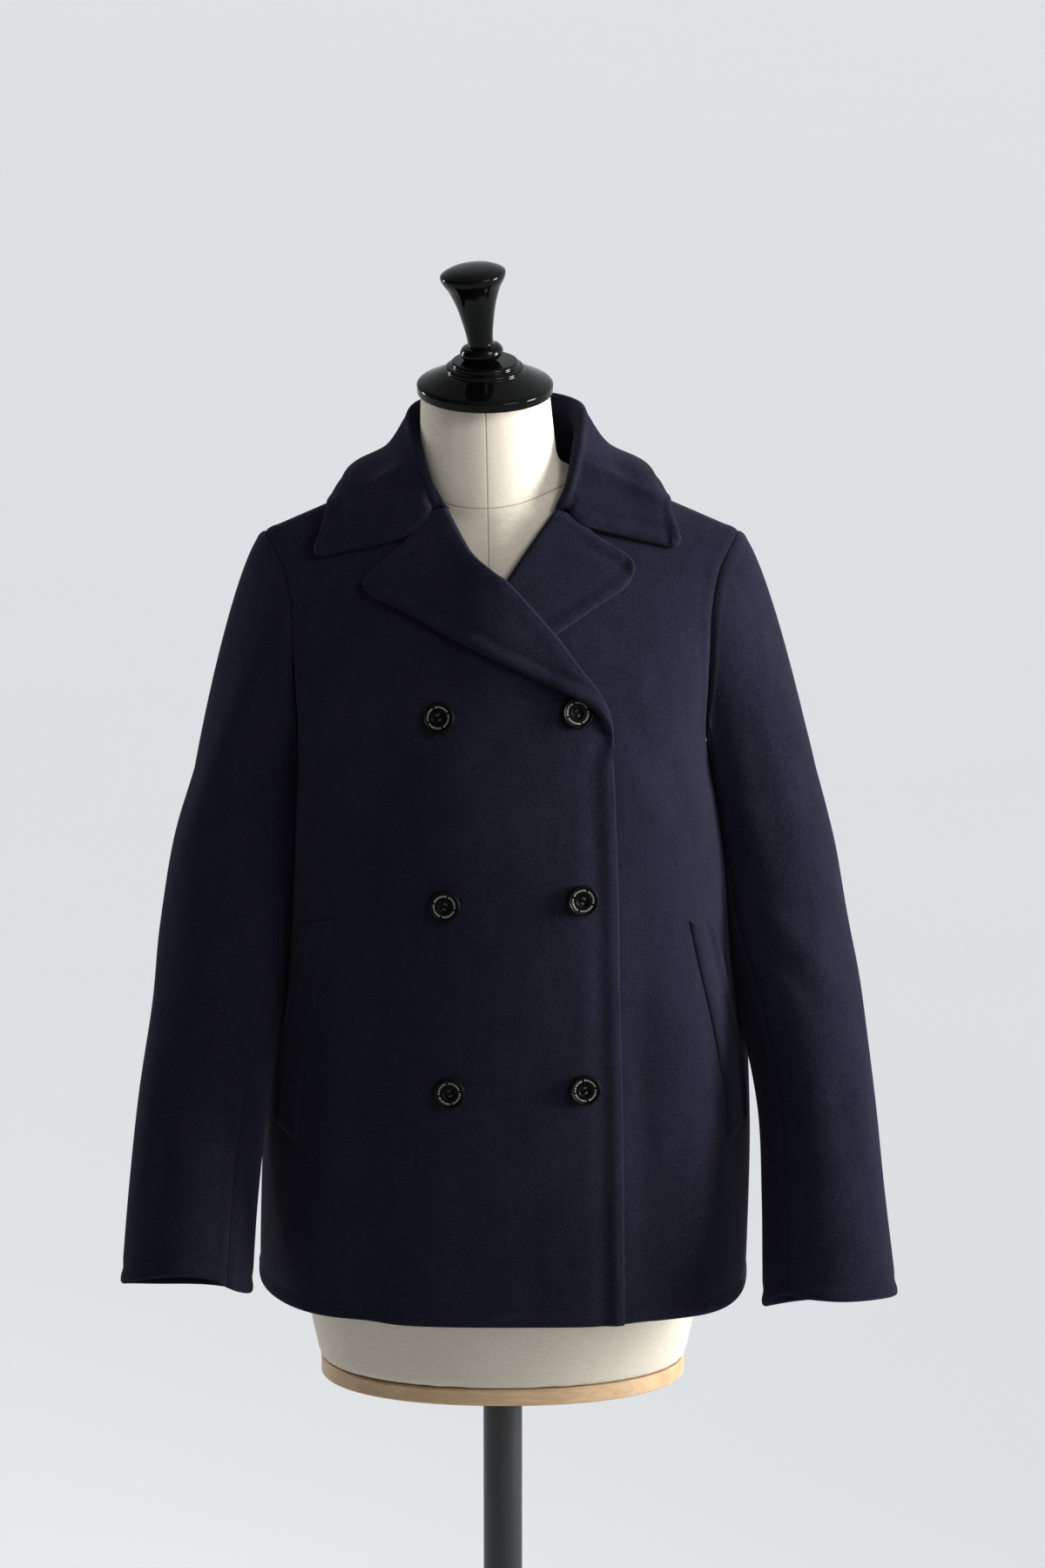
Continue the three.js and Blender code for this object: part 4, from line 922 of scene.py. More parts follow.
def neck_edge(share, side):
    """The panels' neck edge, 0 at the middle of the back and 1 at a front's collar seam."""
    if share < 0.55:
        half = 1
        flat = line([(0, BACK_NECK_UP), *BACK_NECK[::-1], neck_point(1)], [share / 0.55])[0]
    else:
        half = -1
        flat = line([neck_point(1), *FRONT_NECK[::-1], (41, 629)], [(share - 0.55) / 0.45])[0]
    x, up = np.array(side * flat[0]), np.array(flat[1])
    at, out = coat_point(x, up, half)
    lift = top_lift(x, up) if side < 0 and half < 0 else 0.0
    foot = at + out * (lift - CLOTH / 2)
    foot[2] += (1.5 + 4.3 * abs(out[2])) * (1 - 0.7 * float(smoothstep(share, 0.93, 1)))
    return foot


def free_collar_line(share, side, steps):
    """The collar's line from the neck seam over the fold to its edge. The fall is hollow below the fold and
    full over
    the shoulder."""
    _, top_x, top_y, top_up, edge_x, edge_y, edge_up = read(COLLAR_SECTIONS[side], share)
    top = np.array([side * top_x, top_y, HEM_HEIGHT + top_up])
    edge = np.array([side * edge_x, edge_y, HEM_HEIGHT + edge_up])
    away = np.array([edge[0] - top[0], edge[1] - top[1], 0.0])
    away /= np.linalg.norm(away)
    foot = neck_edge(share, side)
    up = np.array([0.0, 0.0, 1.0])
    tuck = min(8.0, (top[2] - foot[2]) * 0.45)
    full = float(1 - smoothstep(share, 0.66, 0.92)) * (0.5 + 0.5 * float(smoothstep(share, 0.1, 0.4)))
    across = away * 0.76 + up * 0.64
    return space_line([
        foot, lerp(foot, top, 0.5), top - up * tuck, top + away * 4.6, top + away * 8.8 - up * tuck,
        lerp(top + away * 4, edge, 0.4) - up * 2 - across * 3.2 * full,
        lerp(top + away * 5, edge, 0.74) - up + across * 6.2 * full, edge], steps)


def collar_line(share, side, steps):
    path = free_collar_line(share, side, steps)
    bend = float(smoothstep(share, 0.8, 1.0))
    if bend > 0:
        end = line(COLLAR_ENDS[side], np.clip((steps - 0.36) / 0.64, 0, 1))
        x, up = side * end[:, 0], end[:, 1]
        at, out = coat_point(x, up, -1)
        lift = top_lift(x, up) if side < 0 else np.zeros_like(x)
        laid = at + out * (lift + LAPEL_GAP + DOUBLED_CLOTH / 2 + 1.2)[:, None]
        to_laid = laid - free_collar_line(1.0, side, steps)
        path = path + to_laid * (bend * smoothstep(steps, 0.3, 0.46))[:, None]
    return path


def softened(field, rounds):
    """The mean of each value and its neighbours, over and over."""
    for _ in range(rounds):
        padded = np.pad(field, [(1, 1), (1, 1)] + [(0, 0)] * (field.ndim - 2), mode="edge")
        field = (padded[:-2, 1:-1] + padded[2:, 1:-1] + padded[1:-1, :-2] + padded[1:-1, 2:] + 4 * field) / 8
    return field


def cleared(grid, steps, clearance):
    """Keeps the collar's fall off the panels below it."""
    x = grid[..., 0]
    up = np.minimum(grid[..., 2] - HEM_HEIGHT, ridge_up(x))
    front = grid[..., 1] < SHOULDER_SEAM_Y
    at_front, out_front = coat_point(x, up, -1)
    at_back, out_back = coat_point(x, up, 1)
    at = np.where(front[..., None], at_front, at_back)
    out = np.where(front[..., None], out_front, out_back)
    covered = np.where(x < 0, top_lift(x, up), 0) * smoothstep(-grid[..., 1], -4, 20)
    need = clearance + covered - np.sum((grid - at) * out, axis=-1)
    need = np.maximum(need, 0) * smoothstep(steps, 0.34, 0.5)
    push = need
    for _ in range(12):
        push = np.maximum(softened(push, 2), need * 0.9)
    return grid + softened(out, 8) * softened(push, 3)[..., None]


def make_collar():
    stations = lerp(-1, 1, shares(190, 0.8, 0.8))
    steps = shares(90, 0.3, 0.9)
    middle = np.array([collar_line(abs(station), -1 if station < 0 else 1, steps) for station in stations])
    middle = cleared(middle, steps, LAYER_GAP + DOUBLED_CLOTH / 2 + 0.6)
    normal = grid_normals(softened(middle, 6))
    back_of_neck = normal[len(stations) // 2, 60]
    normal *= np.sign(back_of_neck[1])
    grid = middle + normal * DOUBLED_CLOTH / 2
    distance = edge_distances(grid)
    for end in (0, -1):
        rounded_corner(grid, distance, end, -1, 11.0)
    gorge = ("seam", "free", 0.45, 0.6)
    return make_cloth("cloth_collar", grid, normal, {"first": gorge, "last": gorge, "right": "free",
        "left": "laid"},
                      ["collar"], DOUBLED_CLOTH, 0.8, distance)


# Sleeves: the arms' sections of (up, distance of the middle out, forward, half width, half depth).
RIGHT_ARM = [
    (408, 197, -4, 49, 50), (350, 207, 3, 55, 50), (290, 216, 16, 56, 50), (230, 225, 36, 54, 49),
    (160, 237.5, 64, 52, 48), (90, 245, 91, 51.5, 45), (25, 249.5, 114, 52, 41),
]
LEFT_ARM = [
    (408, 200, -6, 50, 49), (350, 212, 0, 53, 49), (290, 223, 14, 53, 49), (230, 238, 36, 49.5, 49),
    (160, 250, 64, 47, 48), (90, 255, 91, 49, 45), (15, 259.5, 117, 53.5, 41),
]
CAP_FULLNESS = 0.3
FRONT_SEAM = 8 / 22
BACK_SEAM = 15 / 22
# Creases of a sleeve: (turn, up) at both ends, bow, width and rise. A turn is counted in millimetres of 300
# round.
SLEEVE_CREASES = {
    -1: [
        (0, 46, 520, 20, 330, 8, 13, 2.2), (0, 70, 470, 60, 300, -6, 11, -1.8),
        (0, 10, 300, 36, 120, 6, 12, 1.8),
        (0, 62, 230, 40, 60, -6, 11, -1.6), (0, 288, 420, 300, 240, 6, 13, 1.5),
        (0, 262, 300, 280, 120, 5, 12, -1.5),
        (0, 90, 330, 52, 262, 4, 9, 1.6), (0, 94, 296, 60, 236, 4, 8, -1.4),
        (0, 100, 420, 76, 390, 3, 9, 1.2),
    ],
    1: [
        (0, 36, 520, 12, 330, -8, 13, 2.0), (0, 66, 470, 56, 320, 6, 11, -1.6),
        (0, 16, 300, 40, 130, -6, 12, 1.6),
        (0, 60, 220, 34, 70, 6, 11, -1.5), (0, 286, 400, 300, 220, 6, 13, 1.4),
        (0, 260, 310, 278, 130, 5, 12, -1.5),
        (0, 92, 320, 50, 254, -4, 9, 1.5), (0, 96, 286, 58, 226, -4, 8, -1.3),
        (0, 102, 410, 74, 384, 3, 9, 1.2),
    ],
}
# How far each cuff's edge drops below its level, by the turn.
CUFF_DROPS = {
    -1: [(0, 4), (0.12, 1), (0.2, -3), (0.3, -4), (0.4, 4), (0.5, 5), (0.7, 1), (0.85, 3), (1, 4)],
    1: [(0, 2), (0.1, 4), (0.22, 5), (0.32, 1), (0.38, -3), (0.5, 5), (0.7, 3), (0.85, 2), (1, 2)],
}


def armhole_loop(side, turn):
    """Points and outward directions round the armhole: turn 0 is the shoulder's tip, then down the front."""
    turn = np.mod(turn, 1.0)
    front = turn <= 0.5
    flat_front = armhole(side, -1, np.clip(1 - turn * 2, 0, 1))
    flat_back = armhole(side, 1, np.clip(turn * 2 - 1, 0, 1))
    at_front, out_front = coat_point(flat_front[:, 0], flat_front[:, 1], -1)
    at_back, out_back = coat_point(flat_back[:, 0], flat_back[:, 1], 1)
    pick = front[:, None]
    return np.where(pick, at_front, at_back), np.where(pick, out_front, out_back)


def arm_frame(arm, side, up):
    _, out, forward, wide, deep = read(arm, up)
    high, low = read(arm, up + 4), read(arm, up - 4)
    down = np.array([side * (low[1] - high[1]), high[2] - low[2], low[0] - high[0]])
    down /= np.linalg.norm(down)
    outward = np.array([side, 0.0, 0.0]) - side * down[0] * down
    outward /= np.linalg.norm(outward)
    ahead = np.cross(down, outward)
    ahead = ahead / np.linalg.norm(ahead) * (-1 if ahead[1] > 0 else 1)
    return np.array([side * out, -forward, HEM_HEIGHT + up]), outward, ahead, down, wide, deep


def arm_ring(frame, side, turn):
    """The arm's section, flattened where it rests against the body."""
    middle, outward, ahead, _, wide, deep = frame
    angle = (2 * np.pi * turn)[:, None]
    ring = middle + outward * wide * np.cos(angle) + ahead * deep * np.sin(angle)
    up = ring[:, 2] - HEM_HEIGHT
    row = read(BODY_SECTIONS, up)
    width, seam = (row[:, 1], row[:, 3]) if side < 0 else (row[:, 2], row[:, 4])
    corner = row[:, 7] if side < 0 else row[:, 8]
    y = ring[:, 1]
    reach = np.where(y < seam, row[:, 5] + seam, row[:, 6] - seam)
    across = (1 - np.minimum(np.abs(y - seam) / reach, 1) ** corner) ** (1 / corner)
    body = width * across + 0.8 + np.maximum(hanging_rise(side * width * across, up, -1), 0)
    inside = body - side * ring[:, 0]
    soft = 1.5
    ring[:, 0] += side * soft * np.logaddexp(0, inside / soft)
    return ring


def cap_direction(side, turn):
    angle = 2 * np.pi * turn
    level = np.sin(angle) ** 2
    leave = np.stack([
        side * (0.635 + 0.285 * np.cos(angle) + 0.165 * level), -0.28 * np.sin(angle),
        -(0.665 - 0.275 * np.cos(angle) - 0.165 * level)], axis=-1)
    return leave / np.linalg.norm(leave, axis=-1, keepdims=True)


def sleeve_grid(arm, side, turn):
    step = 0.004
    at, out = armhole_loop(side, turn)
    along = armhole_loop(side, turn + step)[0] - armhole_loop(side, turn - step)[0]
    off_seam = np.cross(along, out) * -side
    off_seam /= np.linalg.norm(off_seam, axis=1, keepdims=True)
    leave = cap_direction(side, turn)
    outward = np.cross(along, leave) * side
    outward /= np.linalg.norm(outward, axis=1, keepdims=True)
    turns_over = np.maximum(-np.sum(outward * out, axis=1), 0)[:, None]
    start = at + off_seam * SEAM_GAP + out * 2 * SEAM_GAP * turns_over
    top_up, cuff_up = arm[0][0], arm[-1][0]
    first = arm_frame(arm, side, top_up)
    end = arm_ring(first, side, turn)
    reach = np.linalg.norm(end - start, axis=1, keepdims=True)
    t = shares(60, 0.85, 0.0)[:, None, None]
    rise = 3 * t ** 2 - 2 * t ** 3
    cap = (lerp(start, end, rise) + t * (1 - t) ** 2 * leave * reach * CAP_FULLNESS
           + t ** 2 * (t - 1) * first[3] * reach * 0.8)
    ups = lerp(top_up, cuff_up, shares(110, 0.0, 0.92))[1:]
    rings = []
    for up in ups:
        frame = arm_frame(arm, side, up)
        drop = read(CUFF_DROPS[side], np.mod(turn, 1.0))[:, 1] * float(smoothstep(up, cuff_up + 45, cuff_up))
        rings.append(arm_ring(frame, side, turn) + frame[3] * drop[:, None])
    return np.concatenate([cap, np.array(rings)]), outward, out


def make_sleeve(name, arm, side, from_turn, to_turn):
    turn = lerp(from_turn, to_turn, shares(60 if to_turn - from_turn > 0.5 else 40))
    grid, outward, body_out = sleeve_grid(arm, side, turn)
    normal = grid_normals(grid)
    normal *= np.sign(np.sum(normal[0] * outward))
    from_seam = edge_distances(grid)["first"]
    agree = smoothstep(np.sum(outward * body_out, axis=1), 0.1, 0.5)
    normal = lerp(normal, body_out[None], ((1 - smoothstep(from_seam, 0, 8)) * agree)[..., None])
    normal /= np.linalg.norm(normal, axis=-1, keepdims=True)
    around = np.mod(turn, 1.0) * 300
    around = np.broadcast_to(around, grid.shape[:2])
    ups = grid[..., 2] - HEM_HEIGHT
    rise = np.zeros(grid.shape[:2])
    for shift in (-300, 0, 300):
        rise += crease_rise(SLEEVE_CREASES[side], 0, around + shift, ups)
    grid = grid + normal * (rise * np.minimum(from_seam / 60, 1))[..., None]
    return make_cloth(name, grid, normal, {"left": "seam", "right": "seam", "first": "seam", "last": "free"},
                      [name.replace("cloth_", "")], 3.4)


# Buttons
BUTTON_RADIUS = 12.5
BUTTON_THICKNESS = 4.6
BUTTONS = [(-47, 482), (-43, 339), (-40, 191), (57, 485), (61.5, 343), (64, 193)]


def lathe(profile, segments):
    """A solid turned round Z from (radius, height) pairs that start and end on the axis."""
    rings = [(r, h) for r, h in profile if r > 1e-6]
    angle = np.linspace(0, 2 * np.pi, segments, endpoint=False)
    points = [(0.0, 0.0, profile[0][1])]
    for r, h in rings:
        points.extend(zip(r * np.cos(angle), r * np.sin(angle), np.full(segments, h)))
    points.append((0.0, 0.0, profile[-1][1]))
    last = len(points) - 1
    faces = []
    for j in range(segments):
        k = (j + 1) % segments
        faces.append((0, 1 + k, 1 + j))
        for i in range(len(rings) - 1):
            a, b = 1 + i * segments, 1 + (i + 1) * segments
            faces.append((a + j, a + k, b + k, b + j))
        a = 1 + (len(rings) - 1) * segments
        faces.append((a + j, a + k, last))
    return np.array(points), faces


def rounded_profile(corners, radius, steps=4):
    """Softens the corners of a profile, apart from its two ends on the axis."""
    p = np.array(corners, float)
    result = [tuple(p[0])]
    for i in range(1, len(p) - 1):
        before, here, after = p[i - 1], p[i], p[i + 1]
        cut = min(radius, 0.45 * np.linalg.norm(here - before), 0.45 * np.linalg.norm(after - here))
        start = here + (before - here) / np.linalg.norm(before - here) * cut
        end = here + (after - here) / np.linalg.norm(after - here) * cut
        for t in np.linspace(0, 1, steps + 1):
            result.append(tuple(lerp(lerp(start, here, t), lerp(here, end, t), t)))
    result.append(tuple(p[-1]))
    return result


def button_seat(x, up, extra=0.0):
    at, out = coat_point(np.array(float(x)), np.array(float(up)), -1)
    lift = float(top_lift(np.array(float(x)), np.array(float(up)))) + SEAM_GAP + extra
    turn = Vector((0, 0, 1)).rotation_difference(Vector(out))
    return Matrix.Translation(Vector(at + out * lift) * MM) @ turn.to_matrix().to_4x4()


def moved_copy(mesh, name, matrix):
    copy = mesh.copy()
    copy.name = name
    copy.transform(matrix)
    return copy


def plain_mesh(name, points, faces):
    mesh = bpy.data.meshes.new(name)
    mesh.from_pydata((np.asarray(points) * MM).tolist(), [], faces)
    mesh.validate()
    return mesh


def button_mesh():
    r, t = BUTTON_RADIUS, BUTTON_THICKNESS
    profile = rounded_profile([
        (0, 0), (r * 0.72, 0), (r * 0.94, t * 0.3), (r, t * 0.62), (r * 0.95, t * 0.94), (r * 0.86, t),
        (r * 0.77, t * 0.82), (r * 0.5, t * 0.8), (r * 0.42, t * 0.86), (r * 0.34, t * 0.62),
        (0, t * 0.52)], 0.5)
    blank = bpy.data.objects.new("blank", plain_mesh("blank", *lathe(profile, 72)))
    bpy.context.scene.collection.objects.link(blank)
    drills = []
    for sx, sy in ((1, 1), (1, -1), (-1, 1), (-1, -1)):
        points, faces = lathe([(0, -2), (1.05, -2), (1.05, 2 * t), (0, 2 * t)], 20)
        drill = bpy.data.objects.new("drill", plain_mesh("drill", points + [sx * 2.1, sy * 2.1, 0], faces))
        bpy.context.scene.collection.objects.link(drill)
        drill.hide_render = True
        cut = blank.modifiers.new("hole", "BOOLEAN")
        cut.operation, cut.solver, cut.object = "DIFFERENCE", "EXACT", drill
        drills.append(drill)
    result = bpy.data.meshes.new_from_object(blank.evaluated_get(bpy.context.evaluated_depsgraph_get()))
    for made in (blank, *drills):
        bpy.data.objects.remove(made)
    return result


def new_node_group(name, inputs):
    group = bpy.data.node_groups.new(name, "GeometryNodeTree")
    for label, kind, value in inputs:
        socket = group.interface.new_socket(label, in_out="INPUT", socket_type=kind)
        if value is not None:
            socket.default_value = value
    group.interface.new_socket("Geometry", in_out="OUTPUT", socket_type="NodeSocketGeometry")
    return group, group.nodes.new("NodeGroupInput"), group.nodes.new("NodeGroupOutput")


def ring_of_marks():
    """Small plain bars round a circle, in groups with a gap after each."""
    group, given, result = new_node_group("ring_of_marks", [
        ("Places", "NodeSocketInt", 36), ("Group", "NodeSocketInt", 9), ("Radius", "NodeSocketFloat", 0.0079),
        ("Bar", "NodeSocketVector", (0.00032, 0.0013, 0.0002)), ("Finish", "NodeSocketMaterial", None)])
    nodes, link = group.nodes, group.links.new
    circle = nodes.new("GeometryNodeMeshCircle")
    bar = nodes.new("GeometryNodeMeshCube")
    points = nodes.new("GeometryNodeInstanceOnPoints")
    position = nodes.new("GeometryNodeInputPosition")
    align = nodes.new("FunctionNodeAlignEulerToVector")
    index = nodes.new("GeometryNodeInputIndex")
    in_group = nodes.new("ShaderNodeMath")
    printed = nodes.new("ShaderNodeMath")
    realize = nodes.new("GeometryNodeRealizeInstances")
    finish = nodes.new("GeometryNodeSetMaterial")
    align.axis = "Y"
    in_group.operation = "MODULO"
    printed.operation, printed.inputs[1].default_value = "GREATER_THAN", 0.5
    link(given.outputs["Places"], circle.inputs["Vertices"])
    link(given.outputs["Radius"], circle.inputs["Radius"])
    link(given.outputs["Bar"], bar.inputs["Size"])
    link(index.outputs["Index"], in_group.inputs[0])
    link(given.outputs["Group"], in_group.inputs[1])
    link(in_group.outputs["Value"], printed.inputs[0])
    link(circle.outputs["Mesh"], points.inputs["Points"])
    link(printed.outputs["Value"], points.inputs["Selection"])
    link(bar.outputs["Mesh"], points.inputs["Instance"])
    link(position.outputs["Position"], align.inputs["Vector"])
    link(align.outputs["Rotation"], points.inputs["Rotation"])
    link(points.outputs["Instances"], realize.inputs["Geometry"])
    link(realize.outputs["Geometry"], finish.inputs["Geometry"])
    link(given.outputs["Finish"], finish.inputs["Material"])
    link(finish.outputs["Geometry"], result.inputs["Geometry"])
    return group


def grown(group, values):
    """The plain mesh that a node group makes with these inputs."""
    seed = bpy.data.objects.new("seed", bpy.data.meshes.new("seed"))
    bpy.context.scene.collection.objects.link(seed)
    modifier = seed.modifiers.new("grow", "NODES")
    modifier.node_group = group
    for item in group.interface.items_tree:
        if item.in_out == "INPUT" and item.name in values:
            modifier[item.identifier] = values[item.name]
    mesh = bpy.data.meshes.new_from_object(seed.evaluated_get(bpy.context.evaluated_depsgraph_get()))
    bpy.data.objects.remove(seed)
    return mesh


def thread_mesh():
    """Two short threads, each over the bridge between a pair of holes."""
    points, faces = [], []
    sides = 10
    for y in (-2.1, 2.1):
        for offset in (-0.42, 0.0, 0.42):
            steps = 17
            base = len(points)
            for i in range(steps):
                share = i / (steps - 1)
                x = lerp(-2.1, 2.1, share)
                z = BUTTON_THICKNESS * 0.55 - 1.4 + 2.1 * math.sin(math.pi * share) ** 0.45
                for j in range(sides):
                    angle = 2 * math.pi * j / sides
                    points.append((x, y + offset + 0.27 * math.cos(angle), z + 0.27 * math.sin(angle)))
            for i in range(steps - 1):
                for j in range(sides):
                    k = (j + 1) % sides
                    a, b = base + i * sides, base + (i + 1) * sides
                    faces.append((a + j, b + j, b + k, a + k))
            faces.append(tuple(base + j for j in range(sides)))
            faces.append(tuple(base + (steps - 1) * sides + j for j in range(sides))[::-1])
    return plain_mesh("thread", points, faces)


def make_buttons():
    blank, thread = button_mesh(), thread_mesh()
    marks = grown(ring_of_marks(), {"Places": 36, "Group": 9, "Radius": 0.0082, "Finish": MARKS})
    pieces = []
    for i, (x, up) in enumerate(BUTTONS):
        seat = button_seat(x, up)
        spin = Matrix.Rotation(math.radians((17, -24, 8, 31, -12, 20)[i]), 4, "Z")
        name = f"button_{i + 1}"
        finish_piece(f"polished_{name}", moved_copy(blank, name, seat @ spin), BUTTON_BLACK, [name])
        marked = seat @ spin @ Matrix.Translation((0, 0, BUTTON_THICKNESS * 0.81 * MM))
        pieces.append(finish_piece(f"marks_{i + 1}", moved_copy(marks, "marks", marked), MARKS))
        pieces.append(finish_piece(f"thread_{i + 1}", moved_copy(thread, "thread", seat @ spin), THREAD))
    return pieces


# The dress form
FORM_DROP = 4.6
NECK = {"x": -7, "top_x": -13, "y": -1, "half_width": 52.5, "half_depth": 43, "foot": 590, "top": 722,
    "tilt": 11}


def form_grid(half, columns, levels, upper):
    angle = np.linspace(-np.pi / 2, np.pi / 2, columns + 1)
    rows = []
    for k in range(levels + upper + 1):
        if k <= levels:
            up = np.full(columns + 1, lerp(-75.0, 400.0, k / levels))
            width, _, corner, _ = quarter(FORM_SECTIONS, angle, up, -1)
            x = np.sign(angle) * width * np.sin(np.abs(angle)) ** (2 / corner)
        else:
            t = (k - levels) / upper
            side_up = np.full(columns + 1, lerp(400.0, float(ridge_up(158, FORM_DROP)), t))
            width, _, corner, _ = quarter(FORM_SECTIONS, angle, side_up, -1)
            full = np.sign(angle) * width * np.sin(np.abs(angle)) ** (2 / corner)
            x = lerp(full, full * 158 / width, t * t)
            up = lerp(400.0, ridge_up(x, FORM_DROP), t)
        y = surface_y(FORM_SECTIONS, x, up, half, FORM_DROP)
        y[[0, -1]] = SHOULDER_SEAM_Y
        if k == levels + upper:
            y[:] = SHOULDER_SEAM_Y
        rows.append(np.stack([x, y, HEM_HEIGHT + up], axis=-1))
    return np.array(rows)


def make_form():
    columns, levels, upper = 72, 60, 44
    front, back = form_grid(-1, columns, levels, upper), form_grid(1, columns, levels, upper)
    rows, width = front.shape[:2]
    points = np.concatenate([front.reshape(-1, 3), back.reshape(-1, 3)])
    index = np.arange(rows * width).reshape(rows, width)
    quads = np.stack([index[:-1, :-1], index[:-1, 1:], index[1:, 1:], index[1:, :-1]], axis=-1).reshape(-1, 4)
    foot = np.stack([index[0, 1:], index[0, :-1], index[0, :-1] + rows * width, index[0,
        1:] + rows * width], axis=-1)
    torso = plain_mesh("torso", points, np.concatenate([quads, quads[:, ::-1] + rows * width, foot]).tolist())
    height = NECK["top"] - NECK["foot"]
    slope = math.tan(math.radians(NECK["tilt"]))
    rings = []
    for share in np.linspace(0, 1, 40):
        angle = np.linspace(0, 2 * np.pi, 96, endpoint=False)
        x = NECK["half_width"] * np.cos(angle) * lerp(1.12, 0.96, share) + lerp(NECK["x"], NECK["top_x"],
            share)
        y = NECK["half_depth"] * np.sin(angle)
        z = HEM_HEIGHT + NECK["foot"] + share * height + share * y * slope
        rings.append(np.stack([x, y * lerp(1.05, 0.98, share) + NECK["y"], z], axis=-1))
    rings = np.array(rings)
    count = rings.shape[1]
    faces = []
    for i in range(len(rings) - 1):
        for j in range(count):
            k = (j + 1) % count
            faces.append((i * count + j, i * count + k, (i + 1) * count + k, (i + 1) * count + j))
    faces.append(tuple(range(count))[::-1])
    faces.append(tuple((len(rings) - 1) * count + j for j in range(count)))
    neck = plain_mesh("neck", rings.reshape(-1, 3), faces)
    return smooth_union([torso, neck])


def smooth_union(meshes):
    """One skin over closed meshes that run into each other, with a soft corner where they meet."""
    import bmesh
    both = bmesh.new()
    for mesh in meshes:
        both.from_mesh(mesh)
    bmesh.ops.remove_doubles(both, verts=both.verts, dist=0.00002)
    bmesh.ops.recalc_face_normals(both, faces=both.faces)
    merged = bpy.data.meshes.new("form")
    both.to_mesh(merged)
    both.free()
    form = bpy.data.objects.new("form", merged)
    bpy.context.scene.collection.objects.link(form)
    skin = form.modifiers.new("skin", "REMESH")
    skin.mode, skin.voxel_size = "VOXEL", 0.0042
    soft = form.modifiers.new("soft", "SMOOTH")
    soft.iterations, soft.factor = 6, 0.5
    mesh = bpy.data.meshes.new_from_object(form.evaluated_get(bpy.context.evaluated_depsgraph_get()))
    bpy.data.objects.remove(form)
    return finish_piece("linen_form", mesh, LINEN, ["form_body"])


# The lacquered pieces and the stand
CAP_PROFILE = [
    (0, 0.3), (51.4, 0.3), (51.4, -3), (53.2, -3), (53.4, 3.5), (51, 5.5), (33, 14), (31, 14.6), (31, 17),
    (29, 18.4), (26.5, 18.8),
    (26.5, 21), (25, 22.4), (0, 22.4),
]
FINIAL_PROFILE = [
    (0, 0.3), (14, 0.3), (16.5, 3.5), (16.8, 6.5), (14.5, 10), (10.5, 11.5), (10, 14), (11.2, 24), (15, 42),
    (20, 56), (24, 63), (25.5, 67), (24.6, 70), (17, 73.5), (8, 75), (0, 75.4),
]
BASE_PROFILE = [(0, 0), (190, 0), (190, 7), (184, 12), (70, 20), (30, 34), (26, 60), (0, 60)]


def add_turned(name, profile, segments, material, node, matrix=Matrix.Identity(4)):
    mesh = plain_mesh(name, *lathe(profile, segments))
    mesh.transform(matrix)
    piece = finish_piece(name, mesh, material, [node])
    mesh.set_sharp_from_angle(angle=math.radians(38))
    return piece


def make_lacquer():
    seat = Matrix.Translation(Vector((NECK["top_x"], NECK["y"], HEM_HEIGHT + NECK["top"])) * MM)
    seat = seat @ Matrix.Rotation(math.radians(NECK["tilt"]), 4, "X")
    add_turned("lacquered_cap", rounded_profile(CAP_PROFILE, 0.8), 120, LACQUER, "neck_cap", seat)
    lean = Matrix.Translation((-0.002, 0, 0.024)) @ Matrix.Rotation(math.radians(-6), 4, "Y")
    smooth = [tuple(p) for p in sampled(FINIAL_PROFILE[1:-1], 60)]
    profile = [FINIAL_PROFILE[0], *smooth, FINIAL_PROFILE[-1]]
    add_turned("lacquered_finial", profile, 96, LACQUER, "finial", seat @ lean)


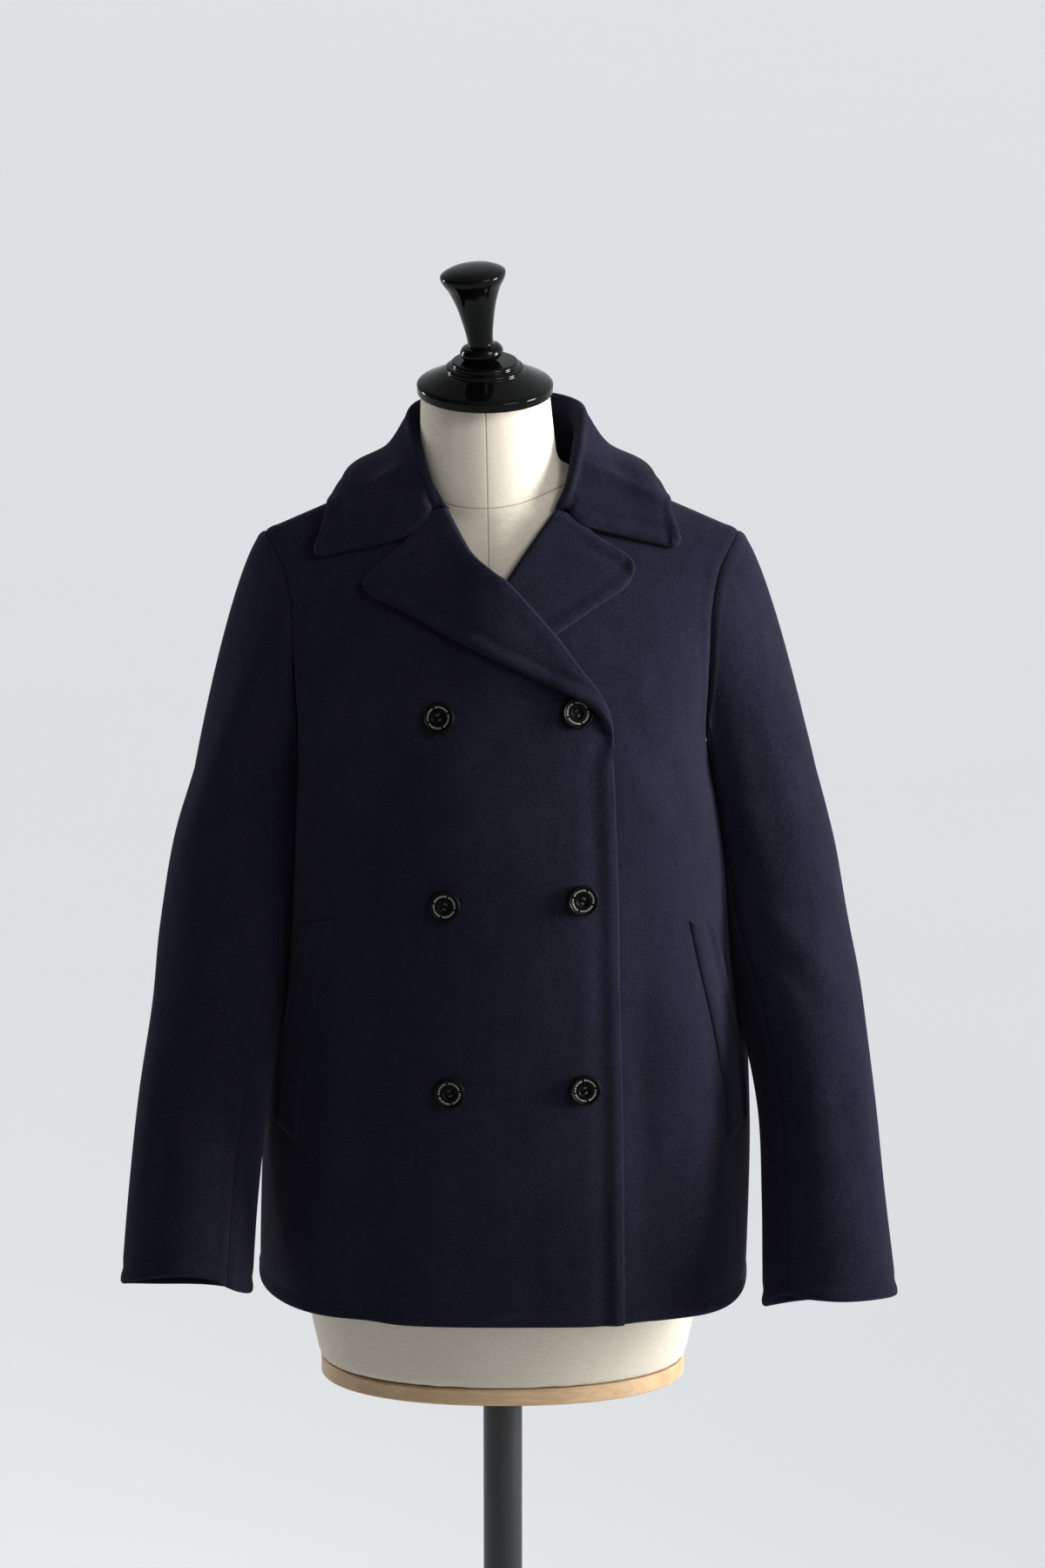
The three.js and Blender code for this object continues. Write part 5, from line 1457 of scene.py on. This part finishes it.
def make_stand():
    low = FORM_SECTIONS[0]
    bottom = HEM_HEIGHT + low[0]
    angle = np.linspace(0, 2 * np.pi, 120, endpoint=False)
    power = 2 / low[7]
    x = (low[1] - 1) * np.sign(np.cos(angle)) * np.abs(np.cos(angle)) ** power
    deep = np.where(np.sin(angle) < 0, low[5], low[6]) - 1
    y = deep * np.sign(np.sin(angle)) * np.abs(np.sin(angle)) ** power
    rings = []
    for inset, z in ((1.2, -14.3), (0, -13.1), (0, -1.5), (1.2, -0.3)):
        rings.append(np.stack([x * (1 - inset / 150), y * (1 - inset / 100), np.full_like(x, bottom + z)],
            axis=-1))
    count = len(angle)
    faces = [tuple(range(count))[::-1], tuple(3 * count + j for j in range(count))]
    for i in range(3):
        for j in range(count):
            k = (j + 1) % count
            faces.append((i * count + j, i * count + k, (i + 1) * count + k, (i + 1) * count + j))
    board = add_piece("wooden_bottom_board", np.concatenate(rings), faces, WOOD, ["bottom_board"])
    board.data.set_sharp_from_angle(angle=math.radians(38))
    top = bottom - 14.6
    pole = [(0, 60.3), (16, 60.3), (16, top), (0, top)]
    add_turned("steel_pole", rounded_profile(pole, 0.5), 64, STEEL, "pole")
    add_turned("steel_base", rounded_profile(BASE_PROFILE, 3.0), 160, STEEL, "base")


# The whole object
add_camera()
add_lights()
add_studio()
add_floor(floor_paint())
cloth = [
    make_back(),
    make_front("cloth_right_front", -1, TOP_EDGE, TOP_ROLL, top_lift),
    make_front("cloth_left_front", 1, UNDER_EDGE, UNDER_ROLL, no_lift),
    make_lapel("cloth_lapel_right", TOP_LAPEL, over_button, (1.6, 0.6), 0.27),
    make_lapel("cloth_lapel_left", UNDER_LAPEL, no_lift, (-1.4, 0.6), 0.0),
    make_collar(),
    make_welt("cloth_welt_right", RIGHT_WELT, top_lift),
    make_welt("cloth_welt_left", LEFT_WELT, no_lift),
]
for name, arm, side in (("sleeve_right", RIGHT_ARM, -1), ("sleeve_left", LEFT_ARM, 1)):
    cloth.append(make_sleeve(f"cloth_{name}_top", arm, side, BACK_SEAM, 1 + FRONT_SEAM))
    cloth.append(make_sleeve(f"cloth_{name}_under", arm, side, FRONT_SEAM, BACK_SEAM))
make_buttons()
make_form()
make_lacquer()
make_stand()
